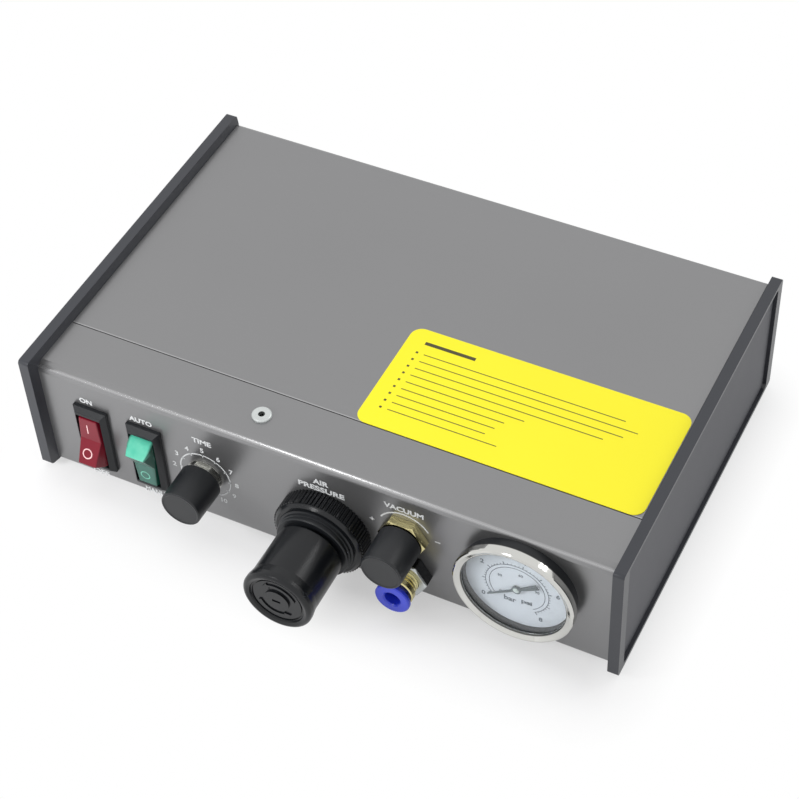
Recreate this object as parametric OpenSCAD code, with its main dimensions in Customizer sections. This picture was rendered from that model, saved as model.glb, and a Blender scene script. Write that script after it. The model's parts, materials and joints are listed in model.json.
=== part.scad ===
// Bench glue dispenser: a timed air box with regulator, vacuum control, gauge and push-in outlet.
// X runs along the front panel to the right, Y to the back, Z up. The origin is the middle of
// the whole footprint, with knobs and fittings, on the surface that the rubber feet stand on.

/* [Case] */
// Overall width over both end frames
case_w = 235; // [225:1:280]
// Depth of an end frame
case_d = 152.5; // [146:0.5:200]
// Height of an end frame
case_h = 55; // [54:0.5:75]
// Height of a rubber foot
foot_h = 2; // [2:0.5:6]
// Radius of a rubber foot
foot_r = 6; // [4:0.5:8]
// Distance from a foot's middle to the nearest edges of the bottom plate
foot_inset = 14; // [12:1:24]

/* [Sheet metal] */
// Thickness of the steel sheet
sheet_t = 1.2; // [0.8:0.1:1.5]
// Inner radius of a fold
fold_r = 0.7; // [0.6:0.1:1.2]
// Inner radius of the fold between front panel and top strip
front_fold_r = 2.2; // [1.5:0.1:2.6]
// Distance from the end frame's front edge back to the front panel
front_setback = 4; // [2:0.5:7]
// Distance from the end frame's top edge down to the cover
top_drop = 3.5; // [2:0.5:4]
// Distance from the end frame's rear edge to the cover's rear lip
rear_inset = 0.5; // [0.3:0.1:3]
// Depth of the chassis strip that turns back over the top
strip_d = 23.6; // [20:0.1:32]
// Depth of the rear panel's lip on the bottom
lip_d = 10; // [8:0.5:18]
// Height of the cover's rear lip
lip_h = 9; // [7:0.5:11]
// Gap between two sheets that lap
lap_gap = 0.1; // [0.05:0.05:0.2]
// Width of the seam between strip and cover
seam_gap = 0.4; // [0.2:0.1:0.8]

/* [End frames] */
// Thickness of an end frame at its edge
frame_t = 4.1; // [3.8:0.05:6]
// Extra thickness where the frame's inner edge slopes down to the sheet
frame_draft = 0.9; // [0.5:0.1:1.5]
// Radius of an end frame's corners
frame_corner_r = 1.4; // [1:0.1:4]
// Width of the raised rim at the front and rear of the outer recess
rim_end_w = 4.8; // [3:0.2:8]
// Width of the raised rim along the top and bottom of the outer recess
rim_long_w = 1.5; // [1.2:0.1:4]
// Depth from the raised rim to the side panel
recess_d = 1.4; // [1:0.1:2]
// Thickness of a side panel
side_panel_t = 1.2; // [0.8:0.1:1.4]
// Length of the spigot
spigot_len = 6; // [4:0.5:8]
// Width of the square lug that takes a bottom screw
lug_w = 8; // [7:0.5:10]
// Distance from an end frame's front or rear edge to its screws
lug_inset = 30; // [26:1:36]
// Radius of a case screw's shank
screw_r = 1.45; // [1.2:0.05:1.6]
// Length of a case screw's shank
screw_len = 7; // [6:0.5:9]
// Radius of a case screw's head
screw_head_r = 2.7; // [2.4:0.1:3]

/* [Cover trim] */
// Middle of the front rivet from the middle of the case
rivet_x = -25.9; // [-60:0.1:20]
// Distance of the front rivet from the front panel
rivet_back = 12; // [10:0.5:14]
// Radius of the rivet's head
rivet_head_r = 3.75; // [3:0.05:4.5]
// Width of the sticker
label_w = 108.1; // [60:0.1:109]
// Depth of the sticker
label_d = 49.8; // [30:0.1:60]
// Corner radius of the sticker
label_r = 4.5; // [2:0.5:8]

/* [Front panel layout] */
// Distance from the panel's left edge to the middle of the power switch
power_in = 20.7; // [18:0.05:22]
// Distance from the power switch to the mode switch
mode_pitch = 22.5; // [21:0.1:24]
// Distance from the mode switch to the time control
time_pitch = 24; // [22:0.1:27]
// Middle of the regulator from the middle of the panel
reg_x = 3.9; // [-2:0.1:5]
// Distance from the regulator to the vacuum control
vac_pitch = 31.5; // [31:0.1:34]
// Distance of the air outlet to the right of the vacuum control
outlet_shift = 1.5; // [-1:0.1:3]
// Distance from the panel's right edge to the middle of the gauge
gauge_in = 33.3; // [30:0.05:38]
// Distance of both switches below the panel's mid height
switch_drop = 3.45; // [-1:0.05:5]
// Distance of the time control below mid height
time_drop = 2.65; // [-3:0.05:6]
// Gap under the regulator's block
reg_floor_gap = 1.1; // [0.5:0.1:3]
// Distance of the vacuum control above mid height
vac_rise = 4.95; // [4.8:0.05:8]
// Distance of the air outlet below mid height
outlet_drop = 13.55; // [13.4:0.05:15]
// Gap over the gauge case
gauge_top_gap = 2.3; // [0.8:0.1:3]

/* [Rocker switches] */
// Width of the bezel
bezel_w = 14; // [13.6:0.1:15]
// Height of the bezel
bezel_h = 31.2; // [31:0.1:34]
// Thickness of the bezel
bezel_t = 3.2; // [2.8:0.1:3.4]
// Width of the switch housing behind the panel
housing_w = 12.6; // [12.4:0.1:13]
// Height of the switch housing behind the panel
housing_h = 27.6; // [27.2:0.1:28.4]
// Depth of the switch housing behind the panel
housing_d = 20; // [15:0.5:26]
// Wall at each side of the well that holds the rocker
well_side = 1.1; // [1:0.05:1.2]
// Wall at each end of the well that holds the rocker
well_end = 1.1; // [0.9:0.05:1.6]
// Depth of the well behind the panel's face
well_d = 9.4; // [9.2:0.1:12]
// Clearance between rocker and well
rocker_gap = 0.25; // [0.2:0.05:0.3]
// Tilt of the rocker from its middle to either end
rocker_tilt = 15.5; // [13:0.5:16]
// Slope of each half of the rocker's front
rocker_dish = 14; // [10:0.5:15]
// Distance from the rocker's crease to each tip
rocker_half = 10; // [9.6:0.1:10.2]
// Width of the rocker's front at its tips
rocker_face_w = 7.4; // [6.8:0.1:8.4]
// Rise of the rocker's crease in front of the panel
rocker_rise = 4.1; // [3.8:0.05:4.3]
// Depth of the rocker's pivot behind the panel's face
pivot_back = 2.6; // [2.4:0.1:2.8]
// Depth of the rocker's skirt behind its pivot
skirt_d = 3.4; // [3:0.1:3.5]
// Radius of the rocker's pivot pins
pivot_r = 0.9; // [0.7:0.05:1]
// Width of a terminal blade
blade_w = 4.8; // [3.8:0.1:6.3]
// Length of a terminal blade
blade_len = 8; // [6:0.5:10]

/* [Time and vacuum knobs] */
// Radius of a small knob at its rear
knob_r = 8.1; // [7.4:0.1:8.6]
// Radius of a small knob at its face
knob_face_r = 7.9; // [7:0.1:8.4]
// Length of a small knob
knob_len = 15; // [13:0.5:18]

/* [Time control] */
// Distance from the panel to the time knob
time_knob_gap = 3.2; // [3:0.1:4]
// Radius of the potentiometer's case
pot_r = 8; // [7:0.5:10]
// Depth of the potentiometer's case
pot_d = 9; // [7:0.5:12]
// Radius of the threaded bush
bush_r = 3.5; // [3.4:0.05:4]
// Radius of the shaft
time_shaft_r = 3; // [2.5:0.05:3.1]
// Length of the shaft in front of the panel
time_shaft_len = 14; // [12:0.5:15]
// Width across flats of the potentiometer's nut
pot_nut_af = 11; // [10:0.5:12]

/* [Regulator] */
// Radius of the ring nut over its ribs
reg_nut_r = 17.8; // [17.4:0.1:19.4]
// Thickness of the ring nut
reg_nut_t = 7.7; // [6.5:0.1:7.8]
// Number of ribs round the ring nut
reg_nut_ribs = 72; // [40:1:80]
// Radius of the threaded bonnet
reg_thread_r = 14.9; // [14.6:0.1:15.4]
// Radius of the bonnet's shoulder behind the panel
reg_shoulder_r = 17.3; // [16.5:0.1:18]
// Radius of the bonnet's neck in front of the nut
reg_neck_r = 14.2; // [13.8:0.1:14.4]
// Distance from the panel to the end of the neck
reg_neck_out = 11.4; // [11:0.1:12]
// Distance from the panel to the back of the knob
reg_knob_out = 12.4; // [12.3:0.1:13]
// Distance from the panel to the face of the knob
reg_face_out = 37.5; // [36:0.5:42]
// Radius of the knob at its back
reg_knob_r = 12.7; // [12:0.1:13]
// Radius of the knob at its face
reg_knob_face_r = 13.4; // [13:0.1:14]
// Travel of the knob when it is pulled out to turn
reg_pull = 3; // [2:0.5:4]
// Radius of the spring chamber
reg_chamber_r = 12.6; // [12.2:0.1:12.8]
// Depth of the bonnet behind the panel
reg_bonnet_d = 16; // [15:0.5:18]
// Width of the square valve body
reg_body_w = 34; // [33:0.5:37]
// Depth of the valve body behind the diaphragm
reg_body_d = 27; // [22:0.5:32]
// Radius of the spindle's screw
spindle_r = 4; // [3.5:0.1:4.5]
// Width across flats of the spindle's hexagon
spindle_af = 8; // [7:0.5:9]
// Travel of the spring nut over the knob's whole turn
carrier_travel = 5; // [4:0.1:5.2]
// Distance from the panel back to the spring nut
carrier_back = 3; // [3:0.1:4]
// Mean radius of the regulator's spring
reg_spring_r = 8.6; // [7.5:0.1:9.5]

/* [Vacuum control] */
// Distance from the panel to the vacuum knob
vac_knob_gap = 3.9; // [3.8:0.1:5]
// Width across flats of the brass nut
vac_nut_af = 16; // [14:0.5:16]
// Thickness of the brass nut
vac_nut_t = 3.5; // [2.5:0.1:3.6]
// Radius of the valve's thread
vac_thread_r = 4.9; // [4.5:0.1:5.3]
// Length of the valve behind the panel
vac_body_d = 22; // [18:0.5:26]
// Radius of the needle's stem
needle_stem_r = 2; // [1.6:0.1:2.4]

/* [Air outlet] */
// Outer radius of the tube that plugs in
outlet_tube_r = 3; // [2.9:0.05:3.1]
// Distance from the panel to the release collet's face
outlet_face_out = 15; // [14:0.5:17]
// Radius of the release collet's flange
outlet_flange_r = 6.7; // [6.2:0.1:7]
// Travel of the release collet
collet_travel = 1.5; // [1:0.1:1.6]
// Radius of the fitting's barrel
outlet_barrel_r = 5.6; // [5.4:0.1:6]
// Radius of the fitting's end ring
outlet_ring_r = 6.3; // [5.9:0.1:6.6]
// Width across flats of the black nut and the metal washer
outlet_nut_af = 15; // [13:0.5:15]
// Thickness of the black nut
outlet_nut_t = 4.4; // [3.5:0.1:5]
// Thickness of the metal washer
outlet_washer_t = 0.9; // [0.6:0.1:1.2]
// Length of the fitting behind the panel
outlet_tail_d = 20; // [16:0.5:24]

/* [Pressure gauge] */
// Outer radius of the bezel
gauge_bezel_r = 22.6; // [22:0.1:22.8]
// Distance from the panel to the bezel's front
gauge_bezel_out = 7.6; // [7:0.1:9]
// Depth of the bezel from its front
gauge_bezel_d = 3.6; // [3.2:0.1:4]
// Radius of the bezel's window
gauge_window_r = 19.4; // [18.5:0.1:20]
// Radius of the gauge's case
gauge_case_r = 20.3; // [19.8:0.1:20.4]
// Depth of the gauge's case behind the panel
gauge_case_d = 25; // [22:0.5:30]
// Distance from the panel to the dial's face
dial_out = 2.6; // [2.4:0.1:2.8]
// Radius of the dial
dial_r = 19.2; // [18:0.1:19.3]
// Distance from the needle's pivot to its tip
pointer_len = 13.2; // [10:0.1:16]
// Distance from the needle's pivot to its tail's end
pointer_tail = 9.6; // [6:0.1:11]
// Angle of the needle at zero pressure, seen from the front
pointer_zero = 215; // [200:1:230]
// Mean radius of the curved pressure tube behind the dial
bourdon_r = 14.5; // [12:0.1:15.5]

/* [Rear fittings] */
// Distance from the case's left edge to the mains inlet
mains_in = 33.75; // [30:0.25:38]
// Distance from the mains inlet to the foot switch socket
pedal_pitch = 40; // [32:0.5:46]
// Distance from the case's right edge to the middle of the silencer
silencer_in = 20.5; // [17:0.25:28]
// Height of the air inlet and the foot switch socket
rear_low_z = 22; // [18:0.5:26]
// Height of the silencer above the case's bottom
silencer_z = 18; // [14:0.5:22]
// Width of the mains inlet's flange
mains_flange_w = 30; // [29.5:0.5:34]
// Height of the mains inlet's flange
mains_flange_h = 37; // [36.5:0.5:39]
// Width of the mains inlet's housing
mains_w = 27; // [27:0.1:27.4]
// Height of the mains inlet's housing
mains_h = 32; // [32:0.1:32.4]
// Depth of the mains inlet behind the rear wall
mains_d = 22; // [21:0.5:26]
// Depth of the plug recess
socket_d = 16; // [15.5:0.5:17]
// Travel of the fuse drawer
drawer_travel = 15; // [12:0.5:17]
// Outer radius of the air inlet tube that plugs in
inlet_tube_r = 4; // [3.9:0.05:4.1]
// Distance from the rear wall to the inlet collet's face
inlet_face_out = 15; // [14:0.5:16]
// Length of the silencer outside the rear wall
silencer_len = 18; // [16:0.5:20]

/* [Inside] */
// Height of the control board above the bottom plate
standoff_h = 7; // [5:0.5:10]
// Distance from the transformer to the control board
board_gap = 6; // [3:0.5:12]
// Room for air tubes between the control board and the solenoid valve
tube_room = 17; // [14:0.5:24]
// Depth of the control board
board_d = 56; // [50:1:60]
// Width of the transformer's core
core_w = 42; // [36:1:46]
// Depth of the transformer's core
core_d = 20; // [16:1:24]
// Height of the transformer's core
core_h = 36; // [30:1:38]
// Width of the solenoid valve's block
block_w = 20; // [18:0.5:22]
// Depth of the solenoid valve's block
block_d = 42; // [38:0.5:46]
// Gap between the solenoid's coil and the cover
coil_gap = 5.1; // [3:0.1:8]
// Height of the solenoid valve's block
block_h = 18; // [16:0.5:20]
// Radius of the solenoid's plunger
plunger_r = 4; // [3.5:0.1:4.5]
// Lift of the solenoid's plunger
plunger_lift = 2; // [1:0.1:3]
// Radius of an air tube
air_tube_r = 2; // [1.5:0.1:2.2]

/* [Fits] */
// Running clearance on the radius of a shaft in its hole
run_gap = 0.05; // [0.03:0.01:0.08]
// Clearance between curved faces of pieces that do not fit together
free_gap = 0.3; // [0.2:0.05:0.4]
// Clearance round a body in its sheet cut-out
cut_gap = 0.2; // [0.1:0.05:0.3]

/* [Hidden] */
$fn = 48;

// Small sizes
pot_washer_r = 7.2;
pot_washer_t = 0.6;
pivot_len = 0.6;
blade_t = 0.8;
knob_dish = 0.25;
knob_edge_r = 0.7;
needle_seat_r = 1;
gauge_wall = 0.8;
reg_rib_h = 0.55;
diaphragm_t = 1.4;
spindle_hex_len = 20;
reg_wire_r = 1.1;
reg_spring_turns = 4;
screw_head_h = 1.5;
board_t = 1.6;
spigot_t = 1.8;
rivet_r = 1.95;
rivet_pin_r = 1.25;
bezel_bevel = 1.8;
vac_shoulder_af = 13;
lens_t = 0.9;
tongue_d = 18;
bush_len = 6;
blade_pitch = 8.6;
pot_nut_t = 2;
carrier_t = 3;
outlet_flange_t = 1.7;
outlet_sleeve_r = 4.2;
vac_thread_out = 6;
label_t = 0.2;

// Colours, as seen
steel_grey = [0.57, 0.57, 0.56];
frame_black = [0.16, 0.17, 0.18];
panel_charcoal = [0.27, 0.28, 0.30];
plastic_black = [0.09, 0.09, 0.10];
brass_tone = [0.72, 0.62, 0.34];
nickel_tone = [0.80, 0.80, 0.78];

// Planes and faces of the case
base_z = foot_h;
front_reach = reg_face_out - front_setback;
rear_wall_back = case_d - rear_inset - sheet_t - lap_gap;
rear_reach = rear_wall_back + silencer_len - case_d;
frame_front = -(case_d + front_reach + rear_reach) / 2 + front_reach;
frame_rear = frame_front + case_d;
front_y = frame_front + front_setback;
rear_y = frame_front + rear_wall_back;
top_z = base_z + case_h - top_drop;
under_z = top_z - sheet_t - lap_gap;
floor_z = base_z + sheet_t;
sheet_x = case_w / 2 - frame_t - frame_draft;
seam_y = front_y + strip_d;
outer_fold = fold_r + sheet_t;
spigot_top = under_z - sheet_t - lap_gap;

// Points along an arc
function arc(c, r, a0, a1, n = 6) =
    [for (i = [0:n]) c + r * [cos(a0 + (a1 - a0) * i / n), sin(a0 + (a1 - a0) * i / n)]];

// Width across corners of a hexagon, as a radius
function hex_r(af) = af / 2 / cos(30);

// Places children on the front panel: their Z points out of the panel, their Y up
module on_front(x, z) {
    translate([x, front_y, base_z + z]) rotate([90, 0, 0]) children();
}

// Places children on the rear wall: their Z points out of the back, their Y up
module on_rear(x, z) {
    translate([x, rear_y, base_z + z]) rotate([90, 0, 180]) children();
}

// Extrudes a profile drawn in Y and Z along X, about the middle
module along_x(len) {
    rotate([90, 0, 90]) translate([0, 0, -len / 2]) linear_extrude(len) children();
}

// Rectangle between two corners
module box2(a, b) {
    translate(a) square(b - a);
}

// Rectangle between two corners with round corners
module round_box2(a, b, r) {
    box2(a + [r, 0], b - [r, 0]);
    box2(a + [0, r], b - [0, r]);
    for (x = [a[0] + r, b[0] - r], y = [a[1] + r, b[1] - r]) translate([x, y]) circle(r);
}

// Block between two corners
module box3(a, b) {
    translate(a) cube(b - a);
}

// Cylinder from one height to another
module rod(r, z0, z1) {
    translate([0, 0, z0]) cylinder(r = r, h = z1 - z0);
}

// Hexagon from one height to another
module hex(af, z0, z1) {
    translate([0, 0, z0]) cylinder(r = hex_r(af), h = z1 - z0, $fn = 6);
}

// Hexagon nut whose front corners are turned off
module turned_nut(af, z0, z1) {
    chamfer = (hex_r(af) - af / 2) * 0.9;
    intersection() {
        hex(af, z0, z1);
        rotate_extrude() polygon([
            [0, z0], [hex_r(af), z0], [hex_r(af), z1 - chamfer / 2], [hex_r(af) - chamfer, z1], [0, z1]
        ]);
    }
}

// Plate with a bevel round its front edges
module bevel_plate(w, h, t, bevel) {
    intersection() {
        rotate([90, 0, 0]) bevel_bar(w, h, t, bevel);
        rotate([90, 0, 90]) bevel_bar(h, w, t, bevel);
    }
}

module bevel_bar(w, len, t, bevel) {
    translate([0, 0, -len / 2]) linear_extrude(len) polygon([
        [-w / 2, 0], [w / 2, 0], [w / 2, t - bevel], [w / 2 - bevel, t],
        [bevel - w / 2, t], [-w / 2, t - bevel]
    ]);
}

// Frames carried along a path without twist
function frames(t, u, i = 0) = i == len(t) ? []
    : let (w = u - (u * t[i]) * t[i], v = w / norm(w)) concat([v], frames(t, v, i + 1));

// Round wire or tube swept along points
module swept(path, r, side, sides = 8) {
    n = len(path);
    t = [for (i = [0:n - 1]) let (d = path[min(i + 1, n - 1)] - path[max(i - 1, 0)]) d / norm(d)];
    u = frames(t, side);
    rings = [for (i = [0:n - 1], k = [0:sides - 1])
        path[i] + r * (cos(360 * k / sides) * u[i] + sin(360 * k / sides) * cross(t[i], u[i]))];
    walls = [for (i = [0:n - 2], k = [0:sides - 1]) let (k2 = (k + 1) % sides, a = i * sides)
        [a + k, a + sides + k, a + sides + k2, a + k2]];
    first = [for (k = [0:sides - 1]) k];
    last = [for (k = [0:sides - 1]) n * sides - 1 - k];
    polyhedron(points = rings, faces = concat([first], walls, [last]), convexity = 6);
}

// Smooth curve through points
function smooth(p, n = 4) = concat([for (i = [0:len(p) - 2], k = [0:n - 1])
    let (a = p[max(i - 1, 0)], b = p[i], c = p[i + 1], d = p[min(i + 2, len(p) - 1)], t = k / n)
    0.5 * ((2 * b) + (c - a) * t + (2 * a - 5 * b + 4 * c - d) * t * t
        + (3 * b - a - 3 * c + d) * t * t * t)], [p[len(p) - 1]]);

// Round-wire spring from height 0 to h, measured over the wire
module wire_spring(mean_r, wire_r, turns, h) {
    steps = 12;
    n = ceil(turns * steps);
    swept([for (i = [0:n]) [
        mean_r * cos(360 * i / steps), mean_r * sin(360 * i / steps),
        wire_r + (h - 2 * wire_r) * i / n
    ]], wire_r * 0.96, [0, 0, 1], 6);
}

// Chassis outline moved in by t: small fold below, wide one above
module chassis_outline(t) {
    hi = [rear_y + case_d, top_z - t];
    intersection() {
        round_box2([front_y + t, base_z + t], hi + [0, case_h], outer_fold - t);
        round_box2([front_y + t, base_z - case_h], hi, front_fold_r + sheet_t - t);
    }
}

// Folded chassis: top strip, front panel and bottom in one sheet
module chassis_profile() {
    intersection() {
        difference() {
            chassis_outline(0);
            chassis_outline(sheet_t);
        }
        union() {
            box2([front_y, base_z], [seam_y, top_z]);
            box2([front_y, base_z], [rear_y, base_z + outer_fold]);
        }
    }
}

module front_holes() {
    for (x = [power_x, mode_x]) on_front(x, switch_z)
        translate([-housing_w / 2 - cut_gap, -housing_h / 2 - cut_gap, -3 * sheet_t])
            cube([housing_w + 2 * cut_gap, housing_h + 2 * cut_gap, 6 * sheet_t]);
    on_front(time_x, time_z) rod(bush_r + cut_gap, -3 * sheet_t, sheet_t);
    on_front(reg_x, reg_z) rod(reg_thread_r + cut_gap, -3 * sheet_t, sheet_t);
    on_front(vac_x, vac_z) rod(vac_thread_r + cut_gap, -3 * sheet_t, sheet_t);
    on_front(outlet_x, outlet_z) rod(outlet_barrel_r + cut_gap, -3 * sheet_t, sheet_t);
    on_front(gauge_x, gauge_z) rod(gauge_case_r + cut_gap, -3 * sheet_t, sheet_t);
}

module rear_holes() {
    on_rear(mains_x, mains_z) translate([-mains_w / 2 - cut_gap, -mains_h / 2 - cut_gap, -lip_d - 1])
        cube([mains_w + 2 * cut_gap, mains_h + 2 * cut_gap, lip_d + 3]);
    on_rear(pedal_x, rear_low_z) rod(pedal_thread_r + cut_gap, -3 * sheet_t, sheet_t);
    on_rear(inlet_x, rear_low_z) rod(inlet_thread_r + cut_gap, -3 * sheet_t, sheet_t);
    on_rear(silencer_x, silencer_z) rod(silencer_thread_r + cut_gap, -3 * sheet_t, sheet_t);
    for (x = rear_screw_xs) on_rear(x, rear_screw_z) rod(screw_r + cut_gap, -3 * sheet_t, sheet_t);
}

module bottom_holes() {
    for (p = lug_places) translate([p[0], p[1], 0]) rod(screw_r + cut_gap, base_z - 1, floor_z + 1);
    // Two rows of air slots below the transformer
    for (i = [-4:4], j = [-1, 1])
        translate([core_x + i * slot_pitch, core_y + j * (slot_len / 2 + slot_pitch), 0])
            translate([-slot_w / 2, -slot_len / 2, base_z - 1]) cube([slot_w, slot_len, 2 + sheet_t]);
}

module chassis() {
    color(steel_grey) difference() {
        along_x(2 * sheet_x) chassis_profile();
        front_holes();
        bottom_holes();
        translate([rivet_x, front_y + rivet_back, 0]) rod(rivet_r + run_gap, spigot_top, top_z + 1);
    }
}

// Rear panel: flat sheet with a lip that lies on the bottom
module rear_panel() {
    lip_z = floor_z + lap_gap;
    color(steel_grey) difference() {
        intersection() {
            along_x(2 * sheet_x) difference() {
                round_box2([rear_y - case_d, lip_z], [rear_y, under_z + case_h], outer_fold);
                round_box2([rear_y - case_d, lip_z + sheet_t],
                    [rear_y - sheet_t, under_z + case_h], fold_r);
            }
            union() {
                box3([-sheet_x, rear_y - sheet_t, 0], [sheet_x, rear_y, under_z - fold_r]);
                box3([-lip_x, rear_y - lip_d, 0], [lip_x, rear_y, lip_z + outer_fold]);
            }
        }
        rear_holes();
    }
}

// Cover: top sheet, stepped tongue below the strip, lip down the rear
module cover_profile() {
    cover_y = frame_rear - rear_inset;
    tongue_z = under_z - sheet_t;
    intersection() {
        difference() {
            round_box2([seam_y - 2 * case_h, top_z - 2 * case_h], [cover_y, top_z], outer_fold);
            round_box2([seam_y - 2 * case_h, top_z - 2 * case_h],
                [cover_y - sheet_t, top_z - sheet_t], fold_r);
        }
        box2([seam_y + seam_gap, top_z - lip_h], [cover_y, top_z]);
    }
    box2([seam_y + seam_gap, tongue_z], [seam_y + seam_gap + sheet_t, top_z]);
    box2([seam_y - tongue_d, tongue_z], [seam_y + seam_gap + sheet_t, under_z]);
}

module top_cover() {
    color(steel_grey) difference() {
        along_x(2 * sheet_x - 2 * lap_gap) cover_profile();
        translate([rivet_x, front_y + rivet_back, 0]) rod(rivet_r + run_gap, spigot_top - 1, top_z);
        for (x = rear_screw_xs) on_rear(x, rear_screw_z) rod(screw_r + cut_gap, -sheet_t, 3 * sheet_t);
    }
}

// Right end frame: rimmed plate, recess, spigot and screw lugs
module end_frame() {
    x_in = sheet_x;
    x_out = case_w / 2;
    top_edge = base_z + case_h;
    color(frame_black) difference() {
        union() {
            translate([(x_in + x_out) / 2, 0, 0]) along_x(x_out - x_in)
                round_box2([frame_front, base_z], [frame_rear, top_edge], frame_corner_r);
            difference() {
                translate([x_in - spigot_len / 2, 0, 0]) along_x(spigot_len) spigot_outline(0);
                translate([x_in - spigot_len / 2, 0, 0]) along_x(2 * spigot_len) spigot_outline(spigot_t);
            }
            for (y = lug_ys) box3(
                [x_in - lug_w, y - lug_w / 2, floor_z + run_gap],
                [x_in, y + lug_w / 2, floor_z + run_gap + screw_len + 2]);
        }
        // Slopes down to the front panel, the rear lip and the cover
        translate([0, 0, base_z - 1]) linear_extrude(case_h + 2) {
            slope([x_in, front_y], front_setback, -1);
            slope([x_in, frame_rear - rear_inset], rear_inset, 1);
        }
        translate([0, frame_rear + 1, 0]) rotate([90, 0, 0]) linear_extrude(case_d + 2)
            slope([x_in, top_z], top_drop, 1);
        // Recess with the seat for the side panel
        translate([x_out - pocket_d / 2 + 0.5, 0, 0]) along_x(pocket_d + 1)
            round_box2(recess_low, recess_high, recess_r);
        for (y = lug_ys) translate([x_in - lug_w / 2, y, 0])
            rod(screw_r + run_gap, base_z, floor_z + screw_len + 1);
    }
}

// Cut from a sheet's edge at p out past the frame's edge, d away
module slope(p, d, way) {
    polygon([
        p, p + [frame_draft, way * d], p + [frame_draft, way * (d + 1)],
        p + [-1, way * (d + 1)], p - [1, 0]
    ]);
}

module spigot_outline(inset) {
    round_box2([front_y + sheet_t + cut_gap + inset, floor_z + run_gap + inset],
        [rear_y - sheet_t - cut_gap - inset, spigot_top - run_gap - inset], fold_r + 0.2);
}

module right_end_frame() {
    end_frame();
}

module left_end_frame() {
    mirror([1, 0, 0]) end_frame();
}

// Flat panel let into the recess of an end frame
module side_panel() {
    edge = [lap_gap, lap_gap];
    color(panel_charcoal) translate([case_w / 2 - pocket_d + side_panel_t / 2, 0, 0])
        along_x(side_panel_t) round_box2(recess_low + edge, recess_high - edge, recess_r - lap_gap);
}

module right_side_panel() {
    side_panel();
}

module left_side_panel() {
    mirror([1, 0, 0]) side_panel();
}

// Pan-head screw, with its head above Z 0 and its shank below
module pan_screw(len) {
    difference() {
        union() {
            rod(screw_r, -len, 0);
            rotate_extrude() polygon(concat([[0, 0], [screw_head_r, 0]],
                arc([screw_head_r - screw_head_h * 0.6, screw_head_h * 0.4], screw_head_h * 0.6, 0, 90, 4),
                [[0, screw_head_h]]));
        }
        for (a = [0, 90]) rotate(a)
            translate([-screw_head_r * 0.55, -0.35, screw_head_h * 0.4])
                cube([screw_head_r * 1.1, 0.7, screw_head_h]);
    }
}

// Four screws into the end frames' lugs, two through the cover's rear lip
module case_screws() {
    color(nickel_tone) {
        for (p = lug_places) translate([p[0], p[1], base_z]) rotate([180, 0, 0]) pan_screw(screw_len);
        for (x = rear_screw_xs) on_rear(x, rear_screw_z)
            translate([0, 0, sheet_t + lap_gap]) pan_screw(screw_len);
    }
}

module rubber_feet() {
    color([0.12, 0.12, 0.12]) for (x = [-1, 1], y = [front_y + foot_inset, rear_y - foot_inset])
        translate([x * (sheet_x - foot_inset - lug_w), y, 0]) rotate_extrude() polygon([
            [0, 0], [foot_r - 0.8, 0], [foot_r - 0.3, 0.4], [foot_r, base_z], [0, base_z]
        ]);
}

// Blind rivet: domed head, shank through strip and tongue, formed tail, pin hole
module cover_rivet() {
    tail_z = under_z - sheet_t - top_z;
    color([0.72, 0.74, 0.74]) translate([rivet_x, front_y + rivet_back, top_z]) rotate_extrude()
        polygon(concat([[rivet_pin_r, 0.9], [rivet_pin_r, tail_z - 1]],
            [[rivet_r, tail_z - 1], [rivet_r * 1.3, tail_z - 0.5],
            [rivet_r * 1.3, tail_z], [rivet_r, tail_z]],
            [[rivet_r, 0], [rivet_head_r, 0]],
            arc([rivet_head_r - 0.9, 0.25], 0.9, 10, 80, 4)));
}

module label_plate() {
    x1 = sheet_x - 0.4;
    y0 = seam_y + seam_gap;
    color([0.97, 0.93, 0.22]) translate([0, 0, top_z]) linear_extrude(label_t)
        round_box2([x1 - label_w, y0], [x1, y0 + label_d], label_r);
}

// Switch housing: bevelled bezel, body, snap ears, well and pivot bores
module switch_housing() {
    difference() {
        union() {
            bevel_plate(bezel_w, bezel_h, bezel_t, bezel_bevel);
            translate([-housing_w / 2, -housing_h / 2, -housing_d]) cube([housing_w, housing_h, housing_d]);
            for (s = [-1, 1]) translate([0, s * housing_h / 2, 0]) rotate([90, 0, 90])
                translate([0, 0, -housing_w / 3]) linear_extrude(housing_w * 2 / 3)
                    polygon([[0, -sheet_t - run_gap], [s * 0.9, -sheet_t - run_gap], [0, -sheet_t - 5]]);
        }
        translate([-well_w / 2, -well_h / 2, -well_d]) cube([well_w, well_h, well_d + bezel_t + 1]);
        translate([-housing_w / 2 - 1, 0, -pivot_back]) rotate([0, 90, 0])
            cylinder(r = pivot_r + run_gap, h = housing_w + 2);
    }
}

// Power switch, with two pairs of blades
module power_switch_body() {
    on_front(power_x, switch_z) {
        color(plastic_black) switch_housing();
        for (x = [-1, 1], y = [-1, 1]) translate([x * housing_w / 4, y * blade_pitch / 2, 0]) blade();
    }
}

// Mode switch, with a row of three blades
module mode_switch_body() {
    on_front(mode_x, switch_z) {
        color(plastic_black) switch_housing();
        for (y = [-1, 0, 1]) translate([0, y * blade_pitch, 0]) blade();
    }
}

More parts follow.
